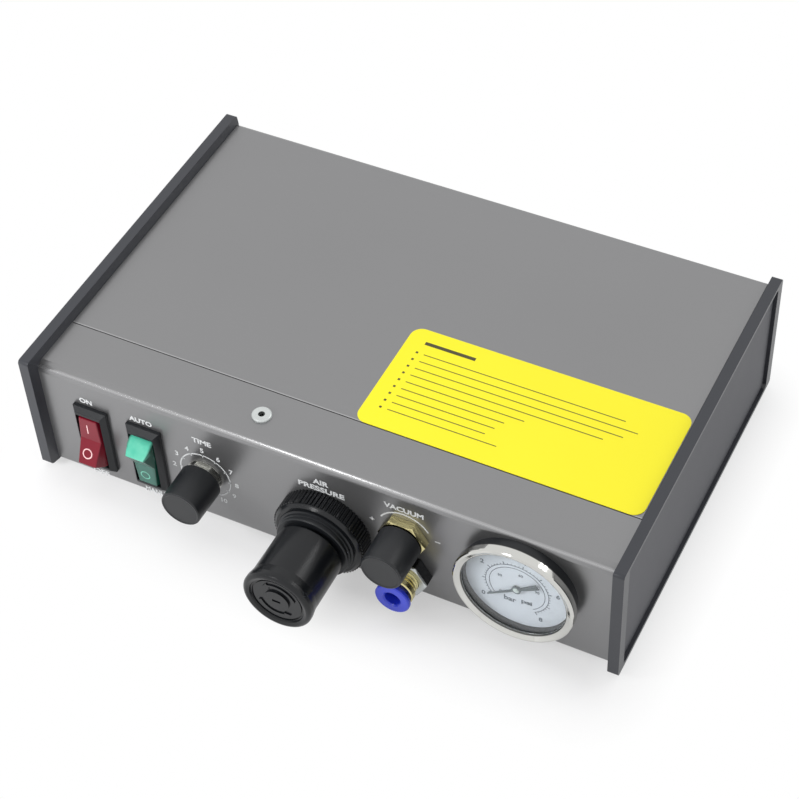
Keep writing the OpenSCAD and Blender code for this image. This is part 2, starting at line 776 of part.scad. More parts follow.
// Rocker about its pivot: barrel, V-shaped front with sloping ends and sides, pins
module rocker(tilt) {
    r = well_h / 2 - rocker_gap;
    w = well_w - 2 * rocker_gap;
    crease = rocker_rise + pivot_back;
    tip = crease + rocker_half * tan(rocker_dish);
    neck = 3.6;
    neck_r = sqrt(r * r - neck * neck);
    pin_x = w / 2 + rocker_gap + pivot_len;
    translate([0, 0, -pivot_back]) rotate([tilt, 0, 0]) {
        difference() {
            intersection() {
                union() {
                    intersection() {
                        rotate([0, 90, 0]) translate([0, 0, -w / 2]) cylinder(r = r, h = w, $fn = 96);
                        box3([-w / 2, -r, -skirt_d], [w / 2, r, neck]);
                    }
                    along_x(w) polygon([[-neck_r, neck], [neck_r, neck],
                        [rocker_half, tip], [0, crease], [-rocker_half, tip]]);
                }
                rotate([90, 0, 0]) translate([0, 0, -r - 1]) linear_extrude(2 * r + 2) polygon([
                    [-w / 2, -skirt_d], [w / 2, -skirt_d], [w / 2, neck + 1],
                    [rocker_face_w / 2, tip], [-rocker_face_w / 2, tip], [-w / 2, neck + 1]
                ]);
            }
            // Hollow underside round the middle plunger
            for (s = [-1, 1]) box3([-w / 2 + 1.4, s > 0 ? 2.2 : -r + 2.4, -skirt_d - 1],
                [w / 2 - 1.4, s > 0 ? r - 2.4 : -2.2, -pivot_r]);
        }
        rotate([0, 90, 0]) translate([0, 0, -pin_x]) cylinder(r = pivot_r, h = 2 * pin_x);
    }
}

module power_rocker() {
    color([0.66, 0.16, 0.24]) on_front(power_x, switch_z) rocker(-rocker_tilt);
}

module mode_rocker() {
    color([0.16, 0.62, 0.47]) on_front(mode_x, switch_z) rocker(rocker_tilt);
}

// Terminal blade behind a switch
module blade() {
    color(brass_tone) difference() {
        translate([-blade_t / 2, -blade_w / 2, -housing_d - blade_len]) cube([blade_t, blade_w, blade_len]);
        translate([-blade_t, 0, -housing_d - blade_len * 0.6]) rotate([0, 90, 0])
            cylinder(r = blade_w / 6, h = 2 * blade_t);
    }
}

// Potentiometer: round case, threaded bush, three lugs
module time_pot_body() {
    color([0.45, 0.46, 0.48]) on_front(time_x, time_z) difference() {
        union() {
            rod(pot_r, -sheet_t - pot_d, -sheet_t);
            rod(bush_r, -sheet_t, bush_len);
            for (i = [-1, 0, 1])
                translate([i * 4 - 0.75, -pot_r - 4, -sheet_t - pot_d + 1]) cube([1.5, 6, 0.8]);
        }
        rod(time_shaft_r + run_gap, -sheet_t - pot_d + 1, bush_len + 1);
    }
}

module time_pot_nut() {
    color(nickel_tone) on_front(time_x, time_z) difference() {
        union() {
            rod(pot_washer_r, 0, pot_washer_t);
            turned_nut(pot_nut_af, pot_washer_t, pot_washer_t + pot_nut_t);
        }
        rod(bush_r + run_gap, -1, pot_washer_t + pot_nut_t + 1);
    }
}

module time_shaft() {
    color(nickel_tone) on_front(time_x, time_z)
        rod(time_shaft_r, -sheet_t - pot_d + 1 + run_gap, time_shaft_len);
}

// Small knob from Z 0 to its face, bored for its shaft and the bush
module small_knob(shaft_r, shaft_depth, bush_bore_r, bush_depth) {
    taper = knob_face_r - knob_edge_r;
    difference() {
        rotate_extrude() polygon(concat(
            [[0, 0], [knob_r - 0.4, 0], [knob_r, 0.4]],
            arc([taper, knob_len - knob_edge_r], knob_edge_r, 0, 90, 5),
            [[taper - 0.5, knob_len - knob_dish], [0, knob_len - knob_dish]]));
        rod(shaft_r + run_gap / 2, -1, shaft_depth);
        rod(bush_bore_r, -1, bush_depth);
    }
}

module time_knob() {
    color(plastic_black) on_front(time_x, time_z) translate([0, 0, time_knob_gap])
        small_knob(time_shaft_r, time_shaft_len - time_knob_gap + run_gap,
            bush_r + free_gap, bush_len - time_knob_gap + free_gap);
}

// Ring nut: ribbed wall, bevelled front and a raised inner lip
module regulator_nut() {
    root = reg_nut_r - reg_rib_h;
    step = 360 / reg_nut_ribs;
    color(plastic_black) on_front(reg_x, reg_z) difference() {
        union() {
            linear_extrude(reg_nut_t - 1.4) polygon([for (i = [0:reg_nut_ribs - 1])
                for (k = [[root, 0.05], [reg_nut_r, 0.25], [reg_nut_r, 0.6], [root, 0.8]])
                    k[0] * [cos((i + k[1]) * step), sin((i + k[1]) * step)]]);
            rotate_extrude() polygon([
                [0, 0.2], [root, 0.2], [root, reg_nut_t - 1.1], [root - 1.1, reg_nut_t], [0, reg_nut_t]
            ]);
        }
        rod(reg_thread_r + 2 * run_gap, -1, reg_nut_t + 1);
    }
}

// Bonnet: shoulder, thread, stepped neck and spring chamber
module regulator_bonnet() {
    neck0 = reg_nut_t + 0.4;
    color(plastic_black) on_front(reg_x, reg_z) difference() {
        rotate_extrude() polygon([
            [0, -reg_bonnet_d], [reg_shoulder_r, -reg_bonnet_d], [reg_shoulder_r, -sheet_t],
            [reg_thread_r, -sheet_t], [reg_thread_r, neck0], [reg_neck_r, neck0 + 0.3],
            [reg_neck_r, neck0 + 1.2], [reg_neck_r - 0.5, neck0 + 1.5], [reg_neck_r - 0.5, neck0 + 2.2],
            [reg_neck_r, neck0 + 2.5], [reg_neck_r, reg_neck_out - 0.4], [reg_neck_r - 0.4, reg_neck_out],
            [0, reg_neck_out]
        ]);
        rod(reg_chamber_r, -reg_bonnet_d - 1, chamber_top);
        rod(spindle_neck_r + run_gap, -1, reg_neck_out + 1);
        rod(reg_hub_r + free_gap, reg_neck_out - hub_seat_d, reg_neck_out + 1);
    }
}

// Spindle: screw, thrust flange under the bonnet, hexagon inside the knob
module regulator_spindle() {
    color(nickel_tone) on_front(reg_x, reg_z) {
        rod(spindle_r, -reg_bonnet_d + 4, flange_z);
        rod(spindle_flange_r, flange_z, flange_z + spindle_flange_t);
        rod(spindle_neck_r, flange_z + spindle_flange_t, hex_z);
        hex(spindle_af, hex_z, hex_z + spindle_hex_len);
    }
}

// Nut on the screw that squeezes the spring
module regulator_carrier() {
    color(brass_tone) on_front(reg_x, reg_z) difference() {
        rod(reg_chamber_r - free_gap, -carrier_back, -carrier_back + carrier_t);
        rod(spindle_r + run_gap, -carrier_back - 1, -carrier_back + carrier_t + 1);
    }
}

module regulator_spring() {
    color(nickel_tone) on_front(reg_x, reg_z)
        translate([0, 0, -reg_bonnet_d + run_gap])
            wire_spring(reg_spring_r, reg_wire_r, reg_spring_turns,
                reg_bonnet_d - carrier_back - 2 * run_gap);
}

module regulator_diaphragm() {
    color([0.25, 0.18, 0.14]) on_front(reg_x, reg_z)
        rod(reg_shoulder_r - 1, -reg_bonnet_d - diaphragm_t, -reg_bonnet_d);
}

// Valve body: round-cornered block with inlet and outlet bosses
module regulator_body() {
    z1 = -reg_bonnet_d - diaphragm_t;
    z0 = z1 - reg_body_d;
    h = reg_body_w / 2;
    color([0.62, 0.63, 0.64]) on_front(reg_x, reg_z) difference() {
        union() {
            translate([0, 0, z0]) linear_extrude(reg_body_d) round_box2([-h, -h], [h, h], 5);
            translate([0, 0, reg_port_z]) rotate([0, 90, 0]) rod(port_boss_r, 0, h + port_boss_len);
            rod(port_boss_r, z0 - port_boss_len, z0);
        }
        rod(9, z1 - 5, z1 + 1);
    }
}

// Push-pull knob: barrel, rounded rim, recessed face with turn arrows, hexagon bore
module regulator_knob() {
    len = reg_face_out - reg_knob_out;
    rim = 1.6;
    floor_r = reg_knob_face_r - 3;
    floor_z1 = len - 1.1;
    color([0.05, 0.05, 0.06]) on_front(reg_x, reg_z) translate([0, 0, reg_knob_out]) {
        difference() {
            rotate_extrude() polygon(concat(
                [[0, -hub_d], [reg_hub_r, -hub_d], [reg_hub_r, 0], [reg_knob_r - 0.9, 0]],
                arc([reg_knob_r - 0.9, 0.9], 0.9, -90, 0, 4),
                [[reg_knob_r + 0.1, len - 6], [reg_knob_face_r, len - rim - 1.2]],
                arc([reg_knob_face_r - rim, len - rim], rim, 0, 90, 6),
                [[floor_r + 0.3, len - 0.4], [floor_r, floor_z1], [0, floor_z1]]));
            hex(spindle_af + 4 * run_gap, -hub_d - 1, hex_z + spindle_hex_len - reg_knob_out + run_gap);
            rotate_extrude() translate([floor_r - 1, floor_z1 - 0.4]) square([0.6, 1]);
        }
        difference() {
            rod(floor_r * 0.46, floor_z1 - 0.2, floor_z1 + 0.7);
            translate([-1.6, -0.55, floor_z1 + 0.2]) cube([3.2, 1.1, 1]);
        }
        // Two curved arrows, one each way
        for (s = [1, -1]) rotate(s > 0 ? 20 : 200) translate([0, 0, floor_z1 - 0.2]) {
            rotate_extrude(angle = 95) translate([floor_r * 0.64, 0]) square([1.1, 0.65]);
            rotate(95) translate([floor_r * 0.64 + 0.55, -0.1, 0]) linear_extrude(0.65)
                polygon([[-1.3, 0], [1.3, 0], [0, 2.4]]);
        }
    }
}

// Vacuum valve: threaded front, hexagon shoulder, side and end ports
module vacuum_valve_body() {
    color(brass_tone) on_front(vac_x, vac_z) difference() {
        union() {
            rod(vac_thread_r, -vac_body_d, vac_thread_out);
            hex(vac_shoulder_af, -sheet_t - 5, -sheet_t);
            rod(port_boss_r * 0.8, -vac_body_d, -vac_body_d + 4);
        }
        rod(needle_stem_r + run_gap, -vac_body_d + 8, vac_thread_out + 1);
        rod(needle_seat_r, -vac_body_d + 4, vac_thread_out);
    }
}

module vacuum_valve_nut() {
    color(brass_tone) on_front(vac_x, vac_z) difference() {
        turned_nut(vac_nut_af, 0, vac_nut_t);
        rod(vac_thread_r + run_gap, -1, vac_nut_t + 1);
    }
}

module vacuum_needle() {
    seat_z = -vac_body_d + 8;
    cone = (needle_stem_r - 0.3) * 1.6;
    color(nickel_tone) on_front(vac_x, vac_z) rotate_extrude() polygon([
        [0, seat_z + 0.3], [0.4, seat_z + 0.3], [needle_stem_r, seat_z + 0.3 + cone],
        [needle_stem_r, vac_knob_gap + knob_len - 4], [0, vac_knob_gap + knob_len - 4]
    ]);
}

module vacuum_knob() {
    color(plastic_black) on_front(vac_x, vac_z) translate([0, 0, vac_knob_gap])
        small_knob(needle_stem_r, knob_len - 4 + run_gap,
            vac_thread_r + free_gap, vac_thread_out - vac_knob_gap + free_gap);
}

// Push-in fitting: barrel, end ring, collet bore, tube seat and air way
module push_in_body(barrel_r, ring_r, ring_z0, ring_z1, sleeve_bore_r, sleeve_z, tube_r, stop_z, tail_z) {
    rotate_extrude() polygon([
        [tube_r * 0.6, tail_z], [barrel_r, tail_z], [barrel_r, ring_z0], [ring_r - 0.3, ring_z0],
        [ring_r, ring_z0 + 0.3], [ring_r, ring_z1 - 0.4], [ring_r - 0.4, ring_z1],
        [sleeve_bore_r, ring_z1], [sleeve_bore_r, sleeve_z], [tube_r + 2 * run_gap, sleeve_z],
        [tube_r + 2 * run_gap, stop_z], [tube_r * 0.6, stop_z]
    ]);
}

// Release collet: flange, sleeve and a waist behind the flange
module collet(tube_r, flange_r, flange_t, sleeve_r, z0, z1) {
    rotate_extrude() polygon([
        [tube_r + 2 * run_gap, z0], [sleeve_r, z0], [sleeve_r, z1 - flange_t],
        [flange_r - 0.3, z1 - flange_t], [flange_r, z1 - flange_t + 0.3], [flange_r, z1 - 0.4],
        [flange_r - 0.4, z1], [tube_r + 0.6, z1], [tube_r + 2 * run_gap, z1 - 0.5]
    ]);
}

module outlet_fitting() {
    color(brass_tone) on_front(outlet_x, outlet_z) difference() {
        union() {
            push_in_body(outlet_barrel_r, outlet_ring_r, outlet_body_out - 2.6, outlet_body_out,
                outlet_sleeve_r + cut_gap, outlet_sleeve_z - collet_travel - free_gap, outlet_tube_r,
                outlet_stop_z, -outlet_tail_d);
            // Hexagon shoulder behind the panel
            difference() {
                hex(outlet_nut_af - 1, -sheet_t - 4, -sheet_t);
                rod(outlet_barrel_r - 0.5, -sheet_t - 5, 0);
            }
        }
        // Grooves that stand for the thread in front of the nut
        for (z = [outlet_nut_t + outlet_washer_t + 0.8 : 1.1 : outlet_body_out - 3.2])
            translate([0, 0, z]) rotate_extrude() polygon([
                [outlet_barrel_r - 0.35, 0], [outlet_barrel_r + 0.2, -0.4], [outlet_barrel_r + 0.2, 0.4]
            ]);
    }
}

module outlet_nut() {
    color(plastic_black) on_front(outlet_x, outlet_z) difference() {
        hex(outlet_nut_af, 0, outlet_nut_t);
        rod(outlet_barrel_r + run_gap, -1, outlet_nut_t + 1);
    }
}

module outlet_washer() {
    color(nickel_tone) on_front(outlet_x, outlet_z) difference() {
        turned_nut(outlet_nut_af, outlet_nut_t, outlet_nut_t + outlet_washer_t);
        rod(outlet_barrel_r + run_gap, 0, outlet_nut_t + outlet_washer_t + 1);
    }
}

module outlet_collet() {
    color([0.18, 0.24, 0.78]) on_front(outlet_x, outlet_z)
        collet(outlet_tube_r, outlet_flange_r, outlet_flange_t,
            outlet_sleeve_r, outlet_sleeve_z, outlet_face_out);
}

// Gauge case: cup, flange in front, port at the back
module gauge_case() {
    in_r = gauge_case_r - gauge_wall;
    color(plastic_black) on_front(gauge_x, gauge_z) {
        difference() {
            union() {
                rod(gauge_case_r, -gauge_case_d, 0);
                rod(gauge_seat_r, 0, lens_z - run_gap);
            }
            rod(in_r, -gauge_case_d + 2, lens_z + 1);
            rod(port_boss_r - 1, -gauge_case_d - 1, 0);
        }
        difference() {
            rod(port_boss_r, -gauge_case_d - 7, -gauge_case_d);
            rod(port_boss_r - 1, -gauge_case_d - 1, -gauge_case_d + 1);
        }
    }
}

// Chrome bezel: rolled wall, rounded front and a lip over the lens
module gauge_bezel() {
    out = gauge_bezel_out;
    back = out - gauge_bezel_d;
    color([0.86, 0.87, 0.87]) on_front(gauge_x, gauge_z) rotate_extrude() polygon(concat(
        [[gauge_seat_r + run_gap, back], [gauge_bezel_r - 0.3, back], [gauge_bezel_r, back + 0.3]],
        arc([gauge_bezel_r - 1.1, out - 1.1], 1.1, 0, 90, 5),
        [[gauge_window_r + 0.7, out - 0.9]],
        arc([gauge_window_r + 0.6, out - 1.5], 0.6, 90, 180, 4),
        [[gauge_window_r, lens_z + lens_t + run_gap],
        [gauge_seat_r + run_gap, lens_z + lens_t + run_gap]]));
}

module gauge_lens() {
    color([0.85, 0.92, 0.95, 0.3]) on_front(gauge_x, gauge_z)
        rod(gauge_seat_r - run_gap, lens_z, lens_z + lens_t);
}

module gauge_dial() {
    color([0.86, 0.88, 0.92]) on_front(gauge_x, gauge_z) difference() {
        rod(dial_r, dial_out - 0.6, dial_out);
        rod(1.4, dial_out - 1, dial_out + 1);
    }
}

// Needle with its staff and pinion
module gauge_needle() {
    z = dial_out + 0.6;
    color([0.12, 0.12, 0.14]) on_front(gauge_x, gauge_z) rotate(pointer_zero) {
        translate([0, 0, z]) linear_extrude(0.4) polygon([
            [-pointer_tail, -1.1], [-pointer_tail + 0.4, 0], [-pointer_tail, 1.1], [-1.2, 0.55],
            [pointer_len, 0.2], [pointer_len, -0.2], [-1.2, -0.55]
        ]);
        rod(1.7, z - 0.1, z + 0.5);
        rod(0.9, z + 0.5, z + 0.7);
        rod(0.6, staff_z, z);
    }
}

// Gauge movement: curved pressure tube, socket, two plates on pillars
module gauge_movement() {
    plate_z = staff_z - 1.2;
    color(brass_tone) on_front(gauge_x, gauge_z) {
        translate([0, 0, -gauge_case_d + 9]) rotate(-80) rotate_extrude(angle = 285)
            translate([bourdon_r - 1, -3]) square([2, 6]);
        translate([0, 0, -gauge_case_d + 2]) box3([-4, -bourdon_r - 3, 0], [4, 4, 10]);
        for (z = [-gauge_case_d + 12.4, plate_z]) translate([-7, -4.5, z]) cube([14, 9, 1]);
        for (x = [-5, 5]) translate([x, 0, 0]) rod(1.2, -gauge_case_d + 13, plate_z);
    }
}

// Clamp bar behind the panel, with its two studs
module gauge_bracket() {
    foot_x = gauge_case_r + 2.4;
    color(nickel_tone) on_front(gauge_x, gauge_z) {
        difference() {
            translate([-foot_x - 1.2, -6, -gauge_case_d - 1.8]) cube([2 * foot_x + 2.4, 12, 1.5]);
            rod(port_boss_r + free_gap, -gauge_case_d - 2, -gauge_case_d);
        }
        for (s = [-1, 1]) translate([s * foot_x - (s > 0 ? 0 : 1.2), -6, -gauge_case_d - 1.8])
            cube([1.2, 12, gauge_case_d + 1.8 - sheet_t]);
    }
}

// Solenoid valve block with a seat below the plunger and three ports
module solenoid_valve() {
    color([0.70, 0.71, 0.72]) difference() {
        union() {
            box3([block_x - block_w / 2, block_y - block_d / 2, floor_z],
                [block_x + block_w / 2, block_y + block_d / 2, floor_z + block_h]);
            for (p = [[block_x - 5, port_low_z], [block_x + 5, port_low_z]])
                translate([p[0], block_y - block_d / 2, p[1]]) rotate([90, 0, 0]) rod(2.6, 0, 4);
            for (s = [-1, 1]) translate([block_x + s * block_w / 2, block_y, port_low_z])
                rotate([0, s * 90, 0]) rod(2.6, 0, 3);
        }
        translate([block_x, block_y, 0]) rod(plunger_r + run_gap, plunger_z0 - 1.5, floor_z + block_h + 1);
    }
}

// Coil with its steel yoke on top of the block
module solenoid_coil() {
    z0 = floor_z + block_h;
    color([0.10, 0.10, 0.12]) difference() {
        union() {
            translate([block_x, block_y, 0]) rod(8.6, z0 + 1.2, z0 + coil_h - 1.2);
            for (z = [z0, z0 + coil_h - 1.2])
                box3([block_x - 9.5, block_y - 10, z], [block_x + 9.5, block_y + 10, z + 1.2]);
            box3([block_x - 9.5, block_y + 8.8, z0], [block_x + 9.5, block_y + 10, z0 + coil_h]);
        }
        translate([block_x, block_y, 0]) rod(plunger_r + run_gap, z0 - 1, z0 + coil_h - 2.2);
    }
}

module solenoid_plunger() {
    color(nickel_tone) translate([block_x, block_y, 0]) rod(plunger_r, plunger_z0, plunger_z1);
}

module solenoid_spring() {
    color(nickel_tone) translate([block_x, block_y, plunger_z1 + run_gap])
        wire_spring(plunger_r - 0.9, 0.45, 4, spring_top - plunger_z1 - 2 * run_gap);
}

// Vacuum ejector: block with inlet, vacuum port and exhaust nozzle
module vacuum_ejector() {
    color([0.66, 0.67, 0.69]) {
        box3([ejector_x - 8, ejector_y - 22, floor_z], [ejector_x + 8, ejector_y + 22, floor_z + 16]);
        translate([ejector_x, ejector_y - 22, port_low_z]) rotate([90, 0, 0]) rod(2.6, 0, 4);
        translate([ejector_x, ejector_y + 22, port_low_z]) rotate([-90, 0, 0]) rod(2.6, 0, 4);
        translate([ejector_x - 8, block_y, port_low_z]) rotate([0, -90, 0]) rod(2.6, 0, 3);
    }
}

// Hose along hand-picked places: straight at both ends, smooth between
module hose(p) {
    n = len(p) - 1;
    swept(concat([p[0]], smooth([for (i = [1:n - 1]) p[i]]), [p[n]]), air_tube_r, [0.3, 0.2, 1]);
}

// Air tubes between the fittings
module air_tubes() {
    color([0.20, 0.32, 0.70]) {
        // Air inlet to the regulator's side
        hose([
            [inlet_x, inlet_back_y, inlet_zc], [inlet_x, inlet_back_y - 1.5, inlet_zc],
            [inlet_x, inlet_back_y - 5, inlet_zc], [way_x + 8, inlet_back_y - 17, inlet_zc + 3],
            [way_x + 0.5, inlet_back_y - 32, inlet_zc + 4], [way_x, reg_port_y + 28, inlet_zc + 4],
            [way_x - 0.5, reg_port_y + 12, inlet_zc + 1.5],
            [reg_port_x + 5, reg_port_y + 2, reg_zc], [reg_port_x + 1.5, reg_port_y, reg_zc],
            [reg_port_x, reg_port_y, reg_zc]
        ]);
        // Regulator's outlet to the solenoid block
        hose([
            [reg_x, reg_back_y, reg_zc], [reg_x, reg_back_y + 1.5, reg_zc],
            [reg_x + 1, reg_back_y + 4.5, reg_zc + 2],
            [reg_x + 9, reg_back_y + 8, reg_zc + 11], [block_x - 30, reg_back_y + 8, reg_zc + 15],
            [block_x - 16, reg_back_y + 5, reg_zc + 15],
            [block_x - 6, reg_back_y + 1, reg_zc + 6], [block_x - 5, block_front_y - 4, port_low_z + 2],
            [block_x - 5, block_front_y - 1.5, port_low_z], [block_x - 5, block_front_y, port_low_z]
        ]);
        // Gauge to the solenoid block
        hose([
            [gauge_x, gauge_back_y, gauge_zc], [gauge_x, gauge_back_y + 1.5, gauge_zc],
            [gauge_x - 1, gauge_back_y + 5, gauge_zc - 1], [gauge_x - 7, gauge_back_y + 12, gauge_zc - 8],
            [block_x + 7, block_front_y - 9, port_low_z + 2],
            [block_x + 5, block_front_y - 4, port_low_z + 0.3],
            [block_x + 5, block_front_y - 1.5, port_low_z], [block_x + 5, block_front_y, port_low_z]
        ]);
        // Solenoid block to the outlet fitting
        hose([
            [block_left_x, block_y, port_low_z], [block_left_x - 1.5, block_y, port_low_z],
            [block_left_x - 4.5, block_y - 2, port_low_z], [outlet_x + 1, block_y - 16, port_low_z + 0.5],
            [outlet_x, outlet_back_y + 24, outlet_zc - 0.5], [outlet_x, outlet_back_y + 6, outlet_zc],
            [outlet_x, outlet_back_y + 1.5, outlet_zc], [outlet_x, outlet_back_y, outlet_zc]
        ]);
        // Vacuum valve to the ejector
        hose([
            [vac_x, vac_back_y, vac_zc], [vac_x, vac_back_y + 1.5, vac_zc],
            [vac_x + 1, vac_back_y + 5, vac_zc + 2],
            [vac_x + 7.5, vac_back_y + 16, vac_zc + 10], [block_x + 8, vac_back_y + 21, vac_zc + 13],
            [ejector_x - 15, vac_back_y + 26, vac_zc + 8],
            [ejector_x - 2, vac_back_y + 30, vac_zc - 6],
            [ejector_x, ejector_front_y - 5, port_low_z + 2.5],
            [ejector_x, ejector_front_y - 1.5, port_low_z], [ejector_x, ejector_front_y, port_low_z]
        ]);
        // Solenoid block to the ejector, ejector to the silencer
        translate([block_x + block_w / 2 + 3, block_y, port_low_z]) rotate([0, 90, 0])
            rod(air_tube_r, 0, ejector_x - block_x - block_w / 2 - 14);
        hose([
            [ejector_x, ejector_y + 26, port_low_z], [ejector_x, ejector_y + 27.5, port_low_z],
            [ejector_x, ejector_y + 31, port_low_z + 0.5],
            [silencer_x, silencer_back_y - 5, silencer_zc - 1],
            [silencer_x, silencer_back_y - 1.5, silencer_zc], [silencer_x, silencer_back_y, silencer_zc]
        ]);
    }
}

// Silencer: threaded stub, collar, hexagon and porous bronze dome
module exhaust_silencer() {
    color([0.66, 0.50, 0.30]) on_rear(silencer_x, silencer_z) {
        rod(silencer_thread_r, -silencer_tail_d, 0);
        rod(silencer_thread_r + 2.2, -sheet_t - 3, -sheet_t);
        turned_nut(12, 0, 4.5);
        rotate_extrude() polygon(concat(
            [[0, 4.5], [4.8, 4.5]], arc([2.2, silencer_len - 2.6], 2.6, 0, 90, 6), [[0, silencer_len]]));
    }
}

module inlet_fitting() {
    body_out = inlet_face_out - 1.8 - collet_travel - free_gap;
    color(nickel_tone) on_rear(inlet_x, rear_low_z) {
        push_in_body(inlet_thread_r, inlet_thread_r + 0.6, body_out - 7, body_out, inlet_sleeve_r + cut_gap,
            inlet_sleeve_z - collet_travel - free_gap, inlet_tube_r, inlet_stop_z, -inlet_tail_d);
        // Hexagon outside the wall and lock nut inside
        difference() {
            union() {
                turned_nut(15, 0, 3.8);
                hex(15, -sheet_t - 3.5, -sheet_t);
            }
            rod(inlet_thread_r - 0.5, -sheet_t - 4, 5);
        }
    }
}

module inlet_collet() {
    color([0.18, 0.24, 0.78]) on_rear(inlet_x, rear_low_z)
        collet(inlet_tube_r, 7.2, 1.8, inlet_sleeve_r, inlet_sleeve_z, inlet_face_out);
}

// Board with four screw holes over the standoffs
module control_board() {
    color([0.08, 0.36, 0.20]) difference() {
        box3([board_x - board_w / 2, board_y - board_d / 2, board_z],
            [board_x + board_w / 2, board_y + board_d / 2, board_z + board_t]);
        for (p = standoff_places) translate([p[0], p[1], 0]) rod(1.6, board_z - 1, board_z + board_t + 1);
    }
}

// Relay, capacitors, chips, terminals, trimmers and resistors
module board_parts() {
    u = board_w / 76;
    v = board_d / 56;
    translate([board_x - board_w / 2, board_y - board_d / 2, board_z + board_t]) {
        color([0.10, 0.25, 0.65]) box3([8 * u, 30 * v, 0], [27 * u, 45 * v, 15]);
        for (p = [[36, 40, 5, 13], [48, 42, 4, 11], [59, 44, 3, 8]])
            color([0.12, 0.14, 0.30]) translate([p[0] * u, p[1] * v, 0]) rod(p[2] * u, 0, p[3]);
        for (y = [16, 26]) color([0.08, 0.08, 0.09]) box3([34 * u, y * v, 0], [54 * u, (y + 6.4) * v, 4.2]);
        for (x = [10, 26]) color([0.15, 0.55, 0.25]) difference() {
            box3([x * u, 6 * v, 0], [(x + 14) * u, 14 * v, 10]);
            for (i = [0, 1]) translate([(x + 3.5 + 7 * i) * u, 10 * v, 5]) rod(1.8 * u, 0, 6);
        }
        for (x = [60, 67]) color([0.20, 0.35, 0.75]) box3([x * u, 14 * v, 0], [(x + 5) * u, 21 * v, 8]);
        for (i = [0:5]) color([0.75, 0.65, 0.45])
            translate([(12 + 3.6 * i) * u, 20 * v, 1.1 * u]) rotate([-90, 0, 0]) rod(1.1 * u, 0, 6.5 * v);
    }
}

module board_standoffs() {
    color(brass_tone) for (p = standoff_places) translate([p[0], p[1], 0]) {
        hex(5.5, floor_z, board_z);
        rod(1.5, board_z, board_z + board_t);
        rod(2.6, board_z + board_t, board_z + board_t + 1.6);
    }
}

// Laminated core with feet, open where the winding passes
module transformer_core() {
    w = core_w / 2;
    color([0.35, 0.35, 0.37]) difference() {
        union() {
            box3([core_x - w, core_y - core_d / 2, floor_z],
                [core_x + w, core_y + core_d / 2, floor_z + core_h]);
            box3([core_x - w - 6, core_y - 6, floor_z], [core_x + w + 6, core_y + 6, floor_z + 1.5]);
        }
        for (s = [-1, 1])
            box3([core_x + s * core_w / 4 - core_w / 12, core_y - core_d, floor_z + core_h / 6],
            [core_x + s * core_w / 4 + core_w / 12, core_y + core_d, floor_z + core_h * 5 / 6]);
    }
}

// Winding on its bobbin round the middle leg
module transformer_coil() {
    leg = core_w / 6 + lap_gap;
    out = core_w / 4 + core_w / 12 - lap_gap;
    z0 = floor_z + core_h / 6 + lap_gap;
    z1 = floor_z + core_h * 5 / 6 - lap_gap;
    color([0.85, 0.62, 0.18]) difference() {
        box3([core_x - out, core_y - core_d / 2 - 8, z0], [core_x + out, core_y + core_d / 2 + 8, z1]);
        box3([core_x - leg, core_y - core_d / 2 - lap_gap, z0 - 1],
            [core_x + leg, core_y + core_d / 2 + lap_gap, z1 + 1]);
    }
}

// Mains inlet: flange, housing, plug recess, three pins, slot for the fuse drawer, blades
module mains_inlet() {
    color(plastic_black) on_rear(mains_x, mains_z) {
        difference() {
            union() {
                bevel_plate(mains_flange_w, mains_flange_h, mains_flange_t, 0.6);
                translate([-mains_w / 2, -mains_h / 2, -mains_d]) cube([mains_w, mains_h, mains_d]);
            }
            // Recess with two cut corners, as the plug has
            translate([0, socket_y, mains_flange_t - socket_d]) linear_extrude(socket_d + 1) polygon([
                [-12, -8.2], [12, -8.2], [12, 4.2], [8, 8.2], [-8, 8.2], [-12, 4.2]
            ]);
            translate([-drawer_w / 2, drawer_y - drawer_h / 2, mains_flange_t - drawer_d])
                cube([drawer_w, drawer_h, drawer_d + 1]);
        }
        // Earth pin above the two live pins
        for (p = [[-7, -2], [7, -2], [0, 2]])
            translate([p[0] - 1, socket_y + p[1] - 2, mains_flange_t - socket_d])
            cube([2, 4, socket_d - 3]);
        for (x = [-8, 0, 8]) translate([x - 0.4, socket_y - 3, -mains_d - 8]) cube([0.8, 6.3, 8]);
    }
}

// Fuse drawer: face with a pull notch, tray with a trough for the fuse
module fuse_drawer() {
    w = drawer_w - 0.4;
    h = drawer_h - 0.4;
    face = mains_flange_t + 0.8;
    color([0.14, 0.14, 0.15]) on_rear(mains_x, mains_z) translate([0, drawer_y, 0]) difference() {
        union() {
            translate([-w / 2, -h / 2, mains_flange_t - drawer_d + 0.5]) cube([w, h, drawer_d - 0.5]);
            translate([-w / 2, -h / 2, mains_flange_t - 0.5]) cube([w, h, 1.3]);
        }
        translate([-w / 2 + 1, -h / 2 + 0.8, face - 9.6]) cube([w - 2, h, 5.8]);
        translate([-2.5, -h / 2 - 1, face - 1]) cube([5, 2, 2]);
    }
}

// Glass fuse across the drawer, with its two metal caps
module fuse() {
    len = drawer_w - 2.6;
    color([0.80, 0.84, 0.84]) on_rear(mains_x, mains_z)
        translate([0, drawer_y + 0.2, mains_flange_t + 0.8 - 6.7]) rotate([0, 90, 0]) {
            rod(fuse_r - 0.25, -len / 2 + 4, len / 2 - 4);
            for (s = [-1, 1]) rod(fuse_r, s > 0 ? len / 2 - 5 : -len / 2, s > 0 ? len / 2 : -len / 2 + 5);
        }
}

